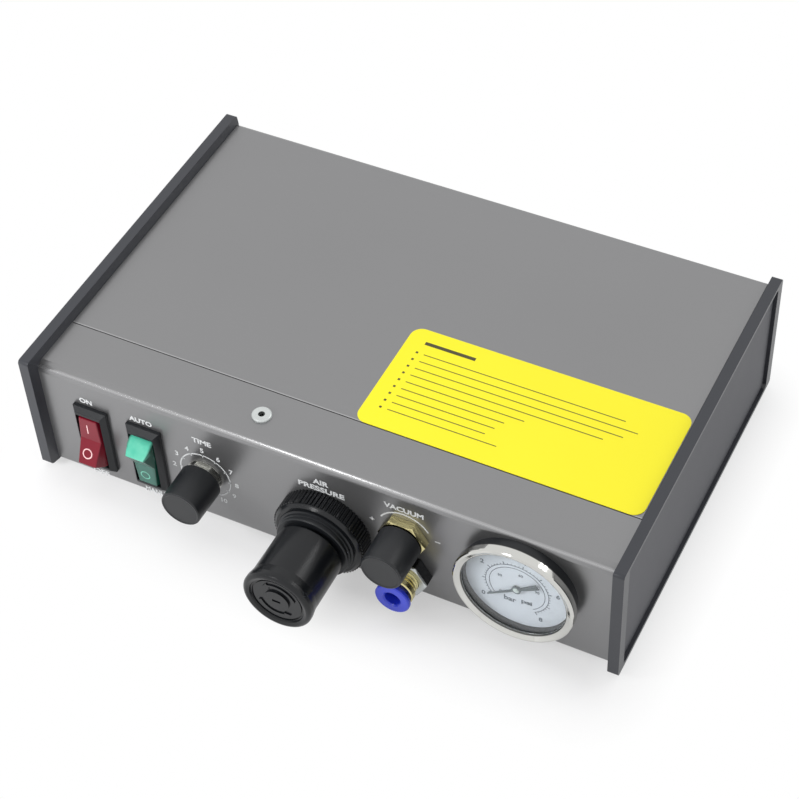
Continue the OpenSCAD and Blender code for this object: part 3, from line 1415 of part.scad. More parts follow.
// Round socket: threaded shell, ring nut, keyed insulator, two contacts
module foot_switch_socket() {
    color([0.78, 0.78, 0.76]) on_rear(pedal_x, rear_low_z) {
        difference() {
            union() {
                rod(pedal_thread_r, -sheet_t - 6, 6.5);
                turned_nut(14, 0, 2.4);
                rod(pedal_thread_r + 1.6, -sheet_t - 2, -sheet_t);
            }
            for (x = [-2, 2]) translate([x, 0, 0]) rod(0.8, 3, 8);
            rotate_extrude() translate([pedal_thread_r - 1.5, 5.5]) square([0.7, 2]);
            translate([-0.7, pedal_thread_r - 2.4, 4.5]) cube([1.4, 1.6, 3]);
        }
        for (x = [-2, 2]) translate([x, 0, 0]) rod(0.7, -sheet_t - 10, -sheet_t - 6);
    }
}

// Places worked out from the sizes above
panel_mid = (case_h - top_drop) / 2;
power_x = -sheet_x + power_in;
mode_x = power_x + mode_pitch;
time_x = mode_x + time_pitch;
vac_x = reg_x + vac_pitch;
outlet_x = vac_x + outlet_shift;
gauge_x = sheet_x - gauge_in;
switch_z = panel_mid - switch_drop;
time_z = panel_mid - time_drop;
reg_z = sheet_t + reg_body_w / 2 + reg_floor_gap;
vac_z = panel_mid + vac_rise;
outlet_z = panel_mid - outlet_drop;
gauge_z = under_z - base_z - gauge_case_r - gauge_top_gap;
well_w = housing_w - 2 * well_side;
well_h = housing_h - 2 * well_end;
lip_x = sheet_x - spigot_len - 1;
lug_ys = [frame_front + lug_inset, frame_rear - lug_inset];
lug_places = [for (s = [-1, 1], y = lug_ys) [s * (sheet_x - lug_w / 2), y]];
rear_screw_xs = [-sheet_x + 12, sheet_x - 8];
rear_screw_z = top_z - base_z - lip_h / 2 - 0.5;
recess_r = 1.5;
pocket_d = recess_d + side_panel_t;
recess_low = [frame_front + rim_end_w, base_z + rim_long_w];
recess_high = [frame_rear - rim_end_w, base_z + case_h - rim_long_w];
slot_w = 2;
slot_len = 12;
slot_pitch = 4.5;

// Regulator
chamber_top = reg_nut_t + 0.4;
hub_seat_d = 1.8;
hub_d = reg_knob_out - reg_neck_out + hub_seat_d - 0.3;
reg_hub_r = 8.2;
spindle_flange_t = 1.7;
spindle_flange_r = 8;
spindle_neck_r = 5.8;
flange_z = chamber_top - spindle_flange_t - 2 * run_gap;
hex_z = reg_neck_out - hub_seat_d - run_gap;
port_boss_r = 5;
port_boss_len = 6;
reg_port_z = -reg_bonnet_d - diaphragm_t - reg_body_d / 2;
reg_zc = base_z + reg_z;
reg_port_x = reg_x + reg_body_w / 2 + port_boss_len;
reg_port_y = front_y - reg_port_z;
reg_back_y = front_y + reg_bonnet_d + diaphragm_t + reg_body_d + port_boss_len;

// Outlet, vacuum valve and gauge
outlet_body_out = outlet_face_out - outlet_flange_t - collet_travel - free_gap;
outlet_sleeve_z = outlet_face_out - 12;
outlet_stop_z = outlet_sleeve_z - 4;
outlet_zc = base_z + outlet_z;
outlet_back_y = front_y + outlet_tail_d;
vac_zc = base_z + vac_z;
vac_back_y = front_y + vac_body_d;
gauge_seat_r = gauge_case_r + 0.9;
lens_z = dial_out + 2.3;
staff_z = -gauge_case_d + 17;
gauge_zc = base_z + gauge_z;
gauge_back_y = front_y + gauge_case_d + 7;

// Ejector, solenoid valve, transformer and board
ejector_x = sheet_x - spigot_len - 9;
ejector_y = front_y + 88;
ejector_front_y = ejector_y - 26;
block_x = outlet_x + block_w / 2 + 9.1;
block_y = front_y + 84;
block_front_y = block_y - block_d / 2 - 4;
block_left_x = block_x - block_w / 2 - 3;
port_low_z = floor_z + 9;
coil_h = top_z - sheet_t - coil_gap - floor_z - block_h;
plunger_z0 = floor_z + 8;
plunger_z1 = floor_z + block_h + 8;
spring_top = floor_z + block_h + coil_h - 2.2;
core_x = -sheet_x + spigot_len + core_w / 2 + 7.75;
core_y = front_y + 72;
board_x0 = core_x + core_w / 2 + board_gap;
board_w = block_left_x - tube_room - board_x0;
board_x = board_x0 + board_w / 2;
board_y = front_y + 92;
board_z = floor_z + standoff_h;
standoff_places = [for (s = [-1, 1], t = [-1, 1])
    [board_x + s * (board_w / 2 - 4), board_y + t * (board_d / 2 - 4)]];
way_x = block_left_x - 6;

// Rear fittings
mains_x = -sheet_x + mains_in;
pedal_x = mains_x + pedal_pitch;
inlet_x = block_x;
silencer_x = sheet_x - silencer_in;
mains_z = top_z - base_z - lip_h - 0.4 - mains_flange_h / 2;
mains_flange_t = 2.4;
socket_y = 4.6;
drawer_w = 22.6;
drawer_h = 6.6;
drawer_d = 20;
drawer_y = -10.2;
fuse_r = 2.5;
pedal_thread_r = 5.9;
inlet_thread_r = 6.6;
inlet_sleeve_r = 5.4;
inlet_sleeve_z = 4.5;
inlet_stop_z = -1;
inlet_tail_d = 16;
inlet_zc = base_z + rear_low_z;
inlet_back_y = rear_y - inlet_tail_d;
silencer_thread_r = 4.8;
silencer_tail_d = 9;
silencer_zc = base_z + silencer_z;
silencer_back_y = rear_y - silencer_tail_d;

chassis();
rear_panel();
top_cover();
left_end_frame();
right_end_frame();
left_side_panel();
right_side_panel();
case_screws();
rubber_feet();
cover_rivet();
label_plate();
power_switch_body();
power_rocker();
mode_switch_body();
mode_rocker();
time_pot_body();
time_pot_nut();
time_shaft();
time_knob();
regulator_body();
regulator_bonnet();
regulator_nut();
regulator_diaphragm();
regulator_spindle();
regulator_carrier();
regulator_spring();
regulator_knob();
vacuum_valve_body();
vacuum_valve_nut();
vacuum_needle();
vacuum_knob();
outlet_fitting();
outlet_nut();
outlet_washer();
outlet_collet();
gauge_case();
gauge_bezel();
gauge_lens();
gauge_dial();
gauge_needle();
gauge_movement();
gauge_bracket();
solenoid_valve();
solenoid_coil();
solenoid_plunger();
solenoid_spring();
vacuum_ejector();
air_tubes();
exhaust_silencer();
inlet_fitting();
inlet_collet();
control_board();
board_parts();
board_standoffs();
transformer_core();
transformer_coil();
mains_inlet();
fuse_drawer();
fuse();
foot_switch_socket();
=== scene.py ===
import json
import math
import bmesh
import bpy
from mathutils import Matrix, Vector


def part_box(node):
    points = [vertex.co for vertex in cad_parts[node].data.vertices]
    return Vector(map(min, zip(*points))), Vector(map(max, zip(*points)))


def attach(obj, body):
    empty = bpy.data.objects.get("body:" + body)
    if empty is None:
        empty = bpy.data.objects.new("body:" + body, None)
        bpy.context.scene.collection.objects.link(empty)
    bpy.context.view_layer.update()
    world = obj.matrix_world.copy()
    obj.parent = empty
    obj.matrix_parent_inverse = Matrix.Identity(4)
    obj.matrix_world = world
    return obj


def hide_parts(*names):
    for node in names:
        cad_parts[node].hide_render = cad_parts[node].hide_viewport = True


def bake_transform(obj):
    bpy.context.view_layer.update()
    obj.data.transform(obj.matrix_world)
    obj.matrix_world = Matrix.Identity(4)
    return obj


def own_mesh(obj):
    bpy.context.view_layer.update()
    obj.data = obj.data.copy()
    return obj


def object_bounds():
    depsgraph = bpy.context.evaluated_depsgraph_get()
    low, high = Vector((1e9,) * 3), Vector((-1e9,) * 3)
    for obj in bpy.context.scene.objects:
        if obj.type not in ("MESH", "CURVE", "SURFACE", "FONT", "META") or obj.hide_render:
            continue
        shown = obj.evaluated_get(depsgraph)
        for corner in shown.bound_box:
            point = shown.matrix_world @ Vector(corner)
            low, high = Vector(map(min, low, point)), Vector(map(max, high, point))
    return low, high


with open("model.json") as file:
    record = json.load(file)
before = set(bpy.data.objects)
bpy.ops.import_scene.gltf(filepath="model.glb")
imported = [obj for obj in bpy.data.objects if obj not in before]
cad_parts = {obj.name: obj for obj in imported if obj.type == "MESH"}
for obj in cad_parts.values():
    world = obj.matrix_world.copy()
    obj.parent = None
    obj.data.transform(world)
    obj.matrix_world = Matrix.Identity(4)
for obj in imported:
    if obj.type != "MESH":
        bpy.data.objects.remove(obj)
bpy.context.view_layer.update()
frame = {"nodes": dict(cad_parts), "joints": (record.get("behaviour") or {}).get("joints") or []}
nodes = frame["nodes"]
scene = bpy.context.scene
mm = 0.001
print("frame loaded:", len(nodes), "nodes")

# Where things sit on the front panel, from the frame itself
places = {joint["name"]: Vector(joint["pos_m"]) for joint in frame["joints"] if "pos_m" in joint}
powerAt = places["power_rocker_tilt"]
modeAt = places["mode_rocker_tilt"]
timeAt = places["time_turn"]
regulatorAt = places["regulator_turn"]
vacuumAt = places["vacuum_turn"]
gaugeAt = places["gauge_needle_turn"]
panelY = timeAt.y                         # face of the front panel
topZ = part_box("top_cover")[1].z
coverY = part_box("label_plate")[0].y       # the sticker starts at the cover's front edge, at the seam


def middle(node):
    low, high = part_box(node)
    return (low + high) / 2


# Shader maths: a wire is a node's output that Python expressions work with
class Wire:
    def __init__(self, owner, socket):
        self.owner = owner
        self.socket = socket

    def maths(self, operation, *values, clamp=False):
        settings = {"operation": operation, "use_clamp": clamp}
        return self.owner.node("ShaderNodeMath", settings, dict(enumerate(values)))

    def __abs__(self):
        return self.maths("ABSOLUTE", self)

    def __add__(self, other):
        return self.maths("ADD", self, other)

    __radd__ = __add__

    def __sub__(self, other):
        return self.maths("SUBTRACT", self, other)

    def __rsub__(self, other):
        return self.maths("SUBTRACT", other, self)

    def __mul__(self, other):
        return self.maths("MULTIPLY", self, other)

    __rmul__ = __mul__

    def __truediv__(self, other):
        return self.maths("DIVIDE", self, other)

    def __rtruediv__(self, other):
        return self.maths("DIVIDE", other, self)

    def __pow__(self, other):
        return self.maths("POWER", self, other)

    def __rpow__(self, other):
        return self.maths("POWER", other, self)

    def most(self, other):
        return self.maths("MAXIMUM", self, other)

    def least(self, other):
        return self.maths("MINIMUM", self, other)

    def above(self, edge, soft):
        # 0 below the edge and 1 above it, with a step as wide as soft between
        return self.maths("ADD", (self - edge) / soft, 0.5, clamp=True)

    def near(self, value, reach, soft):
        # 1 near a value and 0 beyond its reach
        return 1 - abs(self - value).above(reach, soft)


# The nodes of one material, or of the world, round its main shader
class Nodes:
    def __init__(self, tree, shader, output):
        self.tree = tree
        self.shader = tree.nodes[shader]
        self.output = tree.nodes[output]

    def node(self, kind, settings=None, sockets=None, output=0):
        # Settings first, then a value or a wire for each socket
        made = self.tree.nodes.new(kind)
        for name, value in (settings or {}).items():
            setattr(made, name, value)
        for name, value in (sockets or {}).items():
            if isinstance(value, Wire):
                self.tree.links.new(value.socket, made.inputs[name])
            else:
                made.inputs[name].default_value = value
        return Wire(self, made.outputs[output])

    def ray(self, kind):
        return self.node("ShaderNodeLightPath", output="Is %s Ray" % kind)

    def seen(self, mirrored):
        # 1 for what is seen straight or through glass, and a share of it in a mirror
        return self.ray("Camera").most(self.ray("Glossy") * mirrored).most(self.ray("Transmission"))

    def shown(self, other, factor):
        # The main shader where the factor is 0, another one where it is 1
        main = Wire(self, self.shader.outputs[0])
        both = self.node("ShaderNodeMixShader", {}, {0: factor, 1: main, 2: other})
        self.tree.links.new(both.socket, self.output.inputs["Surface"])


# The main shader's sockets, in plain words
shaderSockets = dict(colour="Base Color", rough="Roughness", metallic="Metallic", normal="Normal",
                     specular="Specular IOR Level", coat="Coat Weight", coatRough="Coat Roughness",
                     through="Transmission Weight", refraction="IOR")


# A procedural finish; what is the same all over goes straight on the shader's own sockets
class Look(Nodes):
    def __init__(self, name, colour, **fixed):
        self.material = bpy.data.materials.new(name)
        self.material.use_nodes = True
        super().__init__(self.material.node_tree, "Principled BSDF", "Material Output")
        for word, value in dict(fixed, colour=(*colour, 1)).items():
            self.shader.inputs[shaderSockets[word]].default_value = value

    def here(self):
        # Place in the frame, in metres
        return self.node("ShaderNodeTexCoord", output="Object")

    def axis(self, name):
        return self.node("ShaderNodeSeparateXYZ", {}, {0: self.here()}, output=name)

    def squareFrom(self, at):
        # Square of the distance from a line that runs along Y through a place
        across, up = self.axis("X") - at.x, self.axis("Z") - at.z
        return across * across + up * up

    def stretched(self, x, y, z):
        return self.node("ShaderNodeVectorMath", {"operation": "MULTIPLY"}, {0: self.here(), 1: (x, y, z)})

    def noise(self, scale, detail, rough, place=None):
        # Scale per metre, detail and roughness: the three numbers that the values below give for a pattern
        sockets = {"Vector": place or self.here(), "Scale": scale, "Detail": detail, "Roughness": rough}
        return self.node("ShaderNodeTexNoise", {}, sockets)

    def cells(self, scale, distance="EUCLIDEAN", output="Distance"):
        sockets = {"Vector": self.here(), "Scale": scale}
        return self.node("ShaderNodeTexVoronoi", {"distance": distance}, sockets, output)

    def mixed(self, factor, first, second, blend="MIX"):
        # Two colours, each a wire or plain numbers
        tones = [(*tone, 1) if isinstance(tone, tuple) else tone for tone in (first, second)]
        settings = {"data_type": "RGBA", "blend_type": blend}
        return self.node("ShaderNodeMix", settings, {0: factor, 6: tones[0], 7: tones[1]}, output=2)

    def feed(self, **wires):
        for word, wire in wires.items():
            self.tree.links.new(wire.socket, self.shader.inputs[shaderSockets[word]])
        return self

    def fed(self, word):
        # What feeds one of the shader's sockets so far
        return Wire(self, self.shader.inputs[shaderSockets[word]].links[0].from_socket)

    def bump(self, height, distance, strength):
        sockets = {"Height": height, "Distance": distance, "Strength": strength}
        return self.feed(normal=self.node("ShaderNodeBump", {}, sockets))


def paint(red, green, blue):
    # Screen values 0 to 255 as the linear colour that a shader takes
    shares = (c / 255 for c in (red, green, blue))
    return tuple(c / 12.92 if c <= 0.04 else ((c + 0.055) / 1.055) ** 2.4 for c in shares)


def scaled(colour, by):
    return tuple(min(c * by, 1.0) for c in colour)


# Moulded or painted: faint mottling in colour and gloss, and a fine moulding texture
mouldedValues = dict(patches=(60, 4, 0.6), patchRough=0.08, grainDetail=(3, 0.55), grainRough=0.04, bump=0.5)


def mouldedLook(name, colour, rough, grain, depth=0.02 * mm, mottle=0.12, **fixed):
    v = mouldedValues
    look = Look(name, colour, rough=rough, **fixed)
    broad = look.noise(*v["patches"])
    fine = look.noise(grain, *v["grainDetail"])
    tone = look.mixed(broad, scaled(colour, 1 - mottle), scaled(colour, 1 + mottle))
    uneven = (rough - v["patchRough"] / 2) + broad * v["patchRough"] + (fine - 0.5) * v["grainRough"]
    look.feed(colour=tone, rough=uneven)
    return look.bump(fine, depth, v["bump"])


# Turned or plated metal: fine tool marks that run round the Y axis, and soft stains
metalValues = dict(stretch=0.1, marks=(1, 2, 0.6), marksRough=0.1, clouds=(110, 3, 0.6), cloudsRough=0.08,
                   smoother=0.04, bump=0.35)


def metalLook(name, colour, rough, marks=2600, depth=0.01 * mm, stain=0.15):
    v = metalValues
    look = Look(name, colour, rough=rough, metallic=1.0)
    lines = look.noise(*v["marks"], look.stretched(marks * v["stretch"], marks, marks * v["stretch"]))
    clouds = look.noise(*v["clouds"])
    tone = look.mixed(clouds, scaled(colour, 1 - stain), scaled(colour, 1 + stain / 2))
    uneven = (rough - v["smoother"]) + lines * v["marksRough"] + (clouds - 0.5) * v["cloudsRough"]
    look.feed(colour=tone, rough=uneven)
    return look.bump(lines, depth, v["bump"])


# Satin grey sheet: wide faint clouds, fine grain, a painted highlight along the cover's front edge at the
# seam, and a painted highlight along the sheet's front fold, which is also made smoother there
sheetValues = dict(
    colour=paint(140, 140, 141), highlightTone=1.9, metallic=0.8, rough=0.3, smoother=0.04, uneven=0.05,
    cloud=(9, 3, 0.55), cloudTone=0.04,
    grain=(1, 2, 0.6), grainStretch=(260, 2400, 2400), grainTone=1.06, grainShare=0.3,
    cutBehind=0.1 * mm, cutReach=0.35 * mm, cutDown=0.6 * mm, cutSoft=0.3 * mm, seamHighlightShare=0.6,
    bendBehind=0.4 * mm, bendReach=0.7 * mm, bendDown=1.6 * mm, bendSoft=0.6 * mm, bendHighlightShare=0.7,
    bendSmoother=0.1)


def sheetLook():
    v = sheetValues
    colour, paintedHighlight = v["colour"], scaled(v["colour"], v["highlightTone"])
    look = Look("satin sheet", colour, rough=v["rough"], metallic=v["metallic"])
    cloud = look.noise(*v["cloud"])
    grain = look.noise(*v["grain"], look.stretched(*v["grainStretch"]))
    y, z = look.axis("Y"), look.axis("Z")
    # Painted highlight: a lighter line along the cover's front edge at the seam, where that edge would catch
    # the light
    seamHighlight = y.near(coverY + v["cutBehind"], v["cutReach"], v["cutReach"])
    seamHighlight = seamHighlight * z.above(topZ - v["cutDown"], v["cutSoft"])
    # Painted highlight along the front fold of the sheet, which is also made smoother
    bendHighlight = y.near(panelY + v["bendBehind"], v["bendReach"], v["bendReach"])
    bendHighlight = bendHighlight * z.above(topZ - v["bendDown"], v["bendSoft"])
    tone = look.mixed(cloud, scaled(colour, 1 - v["cloudTone"]), scaled(colour, 1 + v["cloudTone"]))
    tone = look.mixed(grain * v["grainShare"], tone, scaled(colour, v["grainTone"]))
    tone = look.mixed(seamHighlight * v["seamHighlightShare"], tone, paintedHighlight)
    tone = look.mixed(bendHighlight * v["bendHighlightShare"], tone, paintedHighlight)
    uneven = (v["rough"] - v["smoother"]) + cloud * v["uneven"] + grain * v["uneven"]
    return look.feed(colour=tone, rough=uneven - bendHighlight * v["bendSmoother"])


def frameLook():
    # Satin charcoal moulding with a fine spark texture
    return mouldedLook("charcoal frame", paint(46, 48, 54), 0.34, grain=1800, mottle=0.08, specular=0.55)


def sideLook():
    # Sprayed matte grey, slightly blotchy
    return mouldedLook("matte side panel", paint(75, 76, 81), 0.55, grain=1400, depth=0.03 * mm, mottle=0.1)


def knobLook():
    return mouldedLook("knob black", paint(24, 26, 29), 0.40, grain=2200, depth=0.015 * mm, mottle=0.1)


def glossBlackLook():
    return mouldedLook("gloss black", paint(16, 18, 21), 0.24, grain=1500, depth=0.01 * mm, mottle=0.15,
                       specular=0.4)


def switchBlackLook():
    return mouldedLook("switch black", paint(27, 29, 32), 0.36, grain=2000, specular=0.35)


def redLook():
    return mouldedLook("red rocker", paint(118, 14, 34), 0.3, grain=1800, depth=0.008 * mm, specular=0.3,
                       coat=0.15, coatRough=0.2)


# Clear green rocker with light and shade painted in: the end that stands up painted pale as if lit from
# above, with painted highlight streaks on it; the front faces painted a darker green, darker still towards
# the sides as painted shade
greenValues = dict(
    light=paint(76, 186, 158), glow=paint(44, 98, 86), deep=paint(10, 78, 62), streakHighlight=paint(168, 244, 216),
    rough=0.22, specular=0.4, coat=0.2, coatRough=0.15, roughFrom=0.2, cloud=(160, 3, 0.5), cloudRough=0.1,
    wander=1.2 * mm, deepAt=3.6 * mm, deepSoft=2.4 * mm, lightTo=4.3 * mm, endSoft=0.9 * mm, endLean=0.15,
    streaks=(90, 3, 0.6), streakStretch=(1, 1, 0.2), streakFrom=0.55, streakSoft=0.25, streakShare=0.35)


def rockerTip(name):
    # Height of the edge of a rocker that stands out most
    return min(nodes[name].data.vertices, key=lambda corner: corner.co.y).co.z


def greenLook():
    v = greenValues
    look = Look("green rocker", v["light"], rough=v["rough"], specular=v["specular"], coat=v["coat"],
                coatRough=v["coatRough"])
    cloud = look.noise(*v["cloud"])
    streaks = look.noise(*v["streaks"], look.stretched(*v["streakStretch"]))
    aside = abs(look.axis("X") - modeAt.x) + (cloud - 0.5) * v["wander"]
    height = look.axis("Z") + (panelY - look.axis("Y")) * v["endLean"]
    # Painted light: the end that stands up is painted pale, as if lit from above
    end = height.above(rockerTip("mode_rocker") + v["endSoft"], v["endSoft"])
    # Painted shade: the front faces a darker green, darker still towards the sides
    front = look.mixed(aside.above(v["deepAt"], v["deepSoft"]), v["glow"], v["deep"])
    tone = look.mixed(end * (1 - aside.above(v["lightTo"], v["endSoft"])), front, v["light"])
    # Painted highlight streaks on the lit end
    bright = streaks.above(v["streakFrom"], v["streakSoft"]) * end * v["streakShare"]
    tone = look.mixed(bright, tone, v["streakHighlight"])
    return look.feed(colour=tone, rough=v["roughFrom"] + cloud * v["cloudRough"])


def brassLook():
    return metalLook("turned brass", paint(214, 204, 152), 0.17, marks=3200, depth=0.002 * mm, stain=0.06)


def nickelLook():
    return metalLook("nickel plate", paint(186, 186, 182), 0.22)


def zincLook():
    return metalLook("cast zinc", paint(140, 142, 146), 0.42, marks=900, depth=0.04 * mm)


# Plated bezel of the gauge, with painted shade and dark reflections: a painted dark line on the inner rim
# over the lens, and one behind its rim
chromeValues = dict(dark=paint(34, 35, 36), share=0.85, lipIn=3.0 * mm, lipReach=0.22 * mm, lipSoft=0.16 * mm,
                    behind=0.5 * mm, behindSoft=0.3 * mm)


def chromeLook():
    v = chromeValues
    look = metalLook("chrome", paint(208, 208, 204), 0.07, marks=1500, depth=0.002 * mm, stain=0.04)
    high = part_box("gauge_bezel")[1]
    away = look.squareFrom(gaugeAt) ** 0.5
    # Painted shade and dark reflection: dark lines on the inner rim over the lens and at the back of the
    # bezel
    lipShade = away.near(high.x - gaugeAt.x - v["lipIn"], v["lipReach"], v["lipSoft"])
    behind = look.axis("Y").above(high.y - v["behind"], v["behindSoft"])
    return look.feed(colour=look.mixed(lipShade.most(behind) * v["share"], look.fed("colour"), v["dark"]))


def blueLook():
    return mouldedLook("blue collet", paint(42, 60, 205), 0.30, grain=1600, depth=0.01 * mm, mottle=0.08,
                       coat=0.2, coatRough=0.2)


def springLook():
    return metalLook("spring wire", paint(150, 150, 152), 0.3, marks=1200)


def rubberLook():
    return mouldedLook("foot rubber", paint(26, 26, 26), 0.75, grain=1600, depth=0.05 * mm)


def rivetLook():
    return metalLook("rivet aluminium", paint(214, 218, 217), 0.42, marks=2400)


# Yellow vinyl: a soft sheen with slight waviness
vinylValues = dict(colour=paint(248, 237, 18), dark=paint(246, 234, 12), pale=paint(250, 240, 24),
                   rough=0.38, roughFrom=0.34, wave=(26, 2, 0.4), waveRough=0.08, waveHeight=4,
                   dust=(700, 3, 0.7), dustRough=0.05, dustHeight=0.2, depth=0.03 * mm, bump=0.4)


def labelLook():
    v = vinylValues
    look = Look("yellow vinyl", v["colour"], rough=v["rough"])
    wave = look.noise(*v["wave"])
    dust = look.noise(*v["dust"])
    uneven = v["roughFrom"] + wave * v["waveRough"] + (dust - 0.5) * v["dustRough"]
    look.feed(colour=look.mixed(wave, v["dark"], v["pale"]), rough=uneven)
    return look.bump(wave * v["waveHeight"] + dust * v["dustHeight"], v["depth"], v["bump"])


# Printed card of the dial, slightly cloudy
cardValues = dict(colour=paint(204, 206, 212), dark=paint(199, 201, 208), pale=paint(209, 210, 216),
                  rough=0.45, roughFrom=0.4, cloud=(120, 3, 0.5), cloudRough=0.1)


def dialLook():
    v = cardValues
    look = Look("printed dial", v["colour"], rough=v["rough"])
    cloud = look.noise(*v["cloud"])
    tone = look.mixed(cloud, v["dark"], v["pale"])
    return look.feed(colour=tone, rough=v["roughFrom"] + cloud * v["cloudRough"])


# Painted needle, its pin in the middle left bright
needleValues = dict(pin=paint(206, 212, 208), pinRadius=1.1 * mm, pinSoft=0.4 * mm * mm)


def needleLook():
    v = needleValues
    look = mouldedLook("needle paint", paint(70, 80, 84), 0.4, grain=2500, depth=0.005 * mm)
    pin = 1 - look.squareFrom(gaugeAt).above(v["pinRadius"] ** 2, v["pinSoft"])
    return look.feed(colour=look.mixed(pin, look.fed("colour"), v["pin"]))


# Clear lens that lets the light through to the dial
lensValues = dict(tint=(0.93, 0.97, 0.98), clear=(0.97, 0.985, 0.99, 1), refraction=1.45, rough=0.03,
                  roughFrom=0.015, smear=(90, 3, 0.6), smearFrom=0.62, smearSoft=0.3, smearRough=0.05)


def lensLook():
    v = lensValues
    look = Look("clear lens", v["tint"], rough=v["rough"], refraction=v["refraction"], through=1.0)
    smear = look.noise(*v["smear"]).above(v["smearFrom"], v["smearSoft"])
    look.feed(rough=v["roughFrom"] + smear * v["smearRough"])
    look.shown(look.node("ShaderNodeBsdfTransparent", {}, {"Color": v["clear"]}), look.ray("Shadow"))
    return look


def tubeLook():
    return mouldedLook("air tube", paint(36, 84, 176), 0.28, grain=900, depth=0.01 * mm, coat=0.2)


# Sintered bronze: grains and pores
bronzeValues = dict(colour=paint(166, 124, 78), grain=paint(178, 136, 88), pore=paint(92, 66, 40),
                    metallic=0.8, rough=0.55, roughFrom=0.45, scale=2200, poreFrom=0.35, poreSoft=0.4,
                    poreRough=0.3, depth=0.1 * mm, bump=0.6)


def bronzeLook():
    v = bronzeValues
    look = Look("sintered bronze", v["colour"], metallic=v["metallic"], rough=v["rough"])
    grains = look.cells(v["scale"])
    tone = look.mixed(grains.above(v["poreFrom"], v["poreSoft"]), v["grain"], v["pore"])
    look.feed(colour=tone, rough=v["roughFrom"] + grains * v["poreRough"])
    return look.bump(1 - grains, v["depth"], v["bump"])


# Circuit board: green lacquer over copper tracks
boardValues = dict(colour=paint(18, 92, 52), plain=paint(14, 84, 46), track=paint(38, 124, 72), coat=0.3,
                   rough=0.3, roughFrom=0.26, scale=240, trackFrom=0.42, trackSoft=0.06, trackRough=0.12,
                   depth=0.03 * mm, bump=0.6)


def boardLook():
    v = boardValues
    look = Look("circuit board", v["colour"], rough=v["rough"], coat=v["coat"])
    tracks = look.cells(v["scale"], distance="CHEBYCHEV").above(v["trackFrom"], v["trackSoft"])
    tone = look.mixed(tracks, v["plain"], v["track"])
    look.feed(colour=tone, rough=v["roughFrom"] + tracks * v["trackRough"])
    return look.bump(tracks, v["depth"], v["bump"])


# Stacked steel laminations under varnish, with a little rust
coreValues = dict(colour=paint(86, 84, 84), dark=paint(64, 62, 62), pale=paint(112, 110, 110), metallic=0.6,
                  rough=0.45, roughFrom=0.4, sheets=(1, 1, 0.5), stretch=(60, 4200, 60), sheetRough=0.15,
                  rust=paint(108, 72, 48), spots=(180, 4, 0.6), rustFrom=0.66, rustSoft=0.12,
                  depth=0.1 * mm, bump=0.5)


def coreLook():
    v = coreValues
    look = Look("laminated core", v["colour"], metallic=v["metallic"], rough=v["rough"])
    sheets = look.noise(*v["sheets"], look.stretched(*v["stretch"]))
    rust = look.noise(*v["spots"]).above(v["rustFrom"], v["rustSoft"])
    tone = look.mixed(rust, look.mixed(sheets, v["dark"], v["pale"]), v["rust"])
    look.feed(colour=tone, rough=v["roughFrom"] + sheets * v["sheetRough"])
    return look.bump(sheets, v["depth"], v["bump"])


# Yellow tape with lap lines, wound over the copper
windingValues = dict(colour=paint(222, 176, 70), dark=paint(208, 158, 56), pale=paint(232, 190, 92), coat=0.3,
                     rough=0.35, roughFrom=0.3, laps=(1, 1, 0.5), stretch=(40, 40, 900), lapRough=0.12)


def windingLook():
    v = windingValues
    look = Look("winding tape", v["colour"], rough=v["rough"], coat=v["coat"])
    laps = look.noise(*v["laps"], look.stretched(*v["stretch"]))
    tone = look.mixed(laps, v["dark"], v["pale"])
    return look.feed(colour=tone, rough=v["roughFrom"] + laps * v["lapRough"])


# Parts on the board: dark moulded cases with a little colour from place to place
partsValues = dict(colour=paint(40, 46, 60), dark=paint(38, 42, 52), tints=55, tintShare=0.35, rough=0.4,
                   roughFrom=0.34, grain=(1400, 2, 0.5), grainRough=0.12, depth=0.02 * mm, bump=0.4)


def partsLook():
    v = partsValues
    look = Look("board parts", v["colour"], rough=v["rough"])
    tints = look.cells(v["tints"], output="Color")
    fine = look.noise(*v["grain"])
    tone = look.mixed(v["tintShare"], v["dark"], tints, "MULTIPLY")
    look.feed(colour=tone, rough=v["roughFrom"] + fine * v["grainRough"])
    return look.bump(fine, v["depth"], v["bump"])


# Glass fuse along X, with a plated cap at both ends
fuseValues = dict(colour=paint(206, 212, 212), glass=paint(206, 214, 214), cap=paint(168, 168, 166),
                  rough=0.12, capFrom=0.68, capSoft=1.0 * mm * mm)


def fuseLook():
    v = fuseValues
    look = Look("fuse glass", v["colour"], rough=v["rough"])
    low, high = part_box("fuse")
    along = look.axis("X") - middle("fuse").x
    caps = (along * along).above(((high.x - low.x) / 2 * v["capFrom"]) ** 2, v["capSoft"])
    return look.feed(colour=look.mixed(caps, v["glass"], v["cap"]), metallic=caps)


def diaphragmLook():
    return mouldedLook("diaphragm rubber", paint(62, 44, 34), 0.6, grain=1300, depth=0.04 * mm)


# Screen print: slightly uneven cover
inkValues = dict(rough=0.5, roughFrom=0.45, cover=(900, 3, 0.7), coverRough=0.1, thin=0.86, coverFrom=0.35,
                 coverSoft=0.5)


def inkLook(name, colour):
    v = inkValues
    look = Look(name, colour, rough=v["rough"])
    cover = look.noise(*v["cover"])
    tone = look.mixed(cover.above(v["coverFrom"], v["coverSoft"]), scaled(colour, v["thin"]), colour)
    return look.feed(colour=tone, rough=v["roughFrom"] + cover * v["coverRough"])


whiteInk = inkLook("white print", paint(214, 216, 217))
roseInk = inkLook("rose print", paint(238, 196, 196))
paleInk = inkLook("pale print", paint(112, 186, 164))
greyInk = inkLook("grey print", paint(72, 80, 92))
labelInk = inkLook("label print", paint(70, 66, 34))

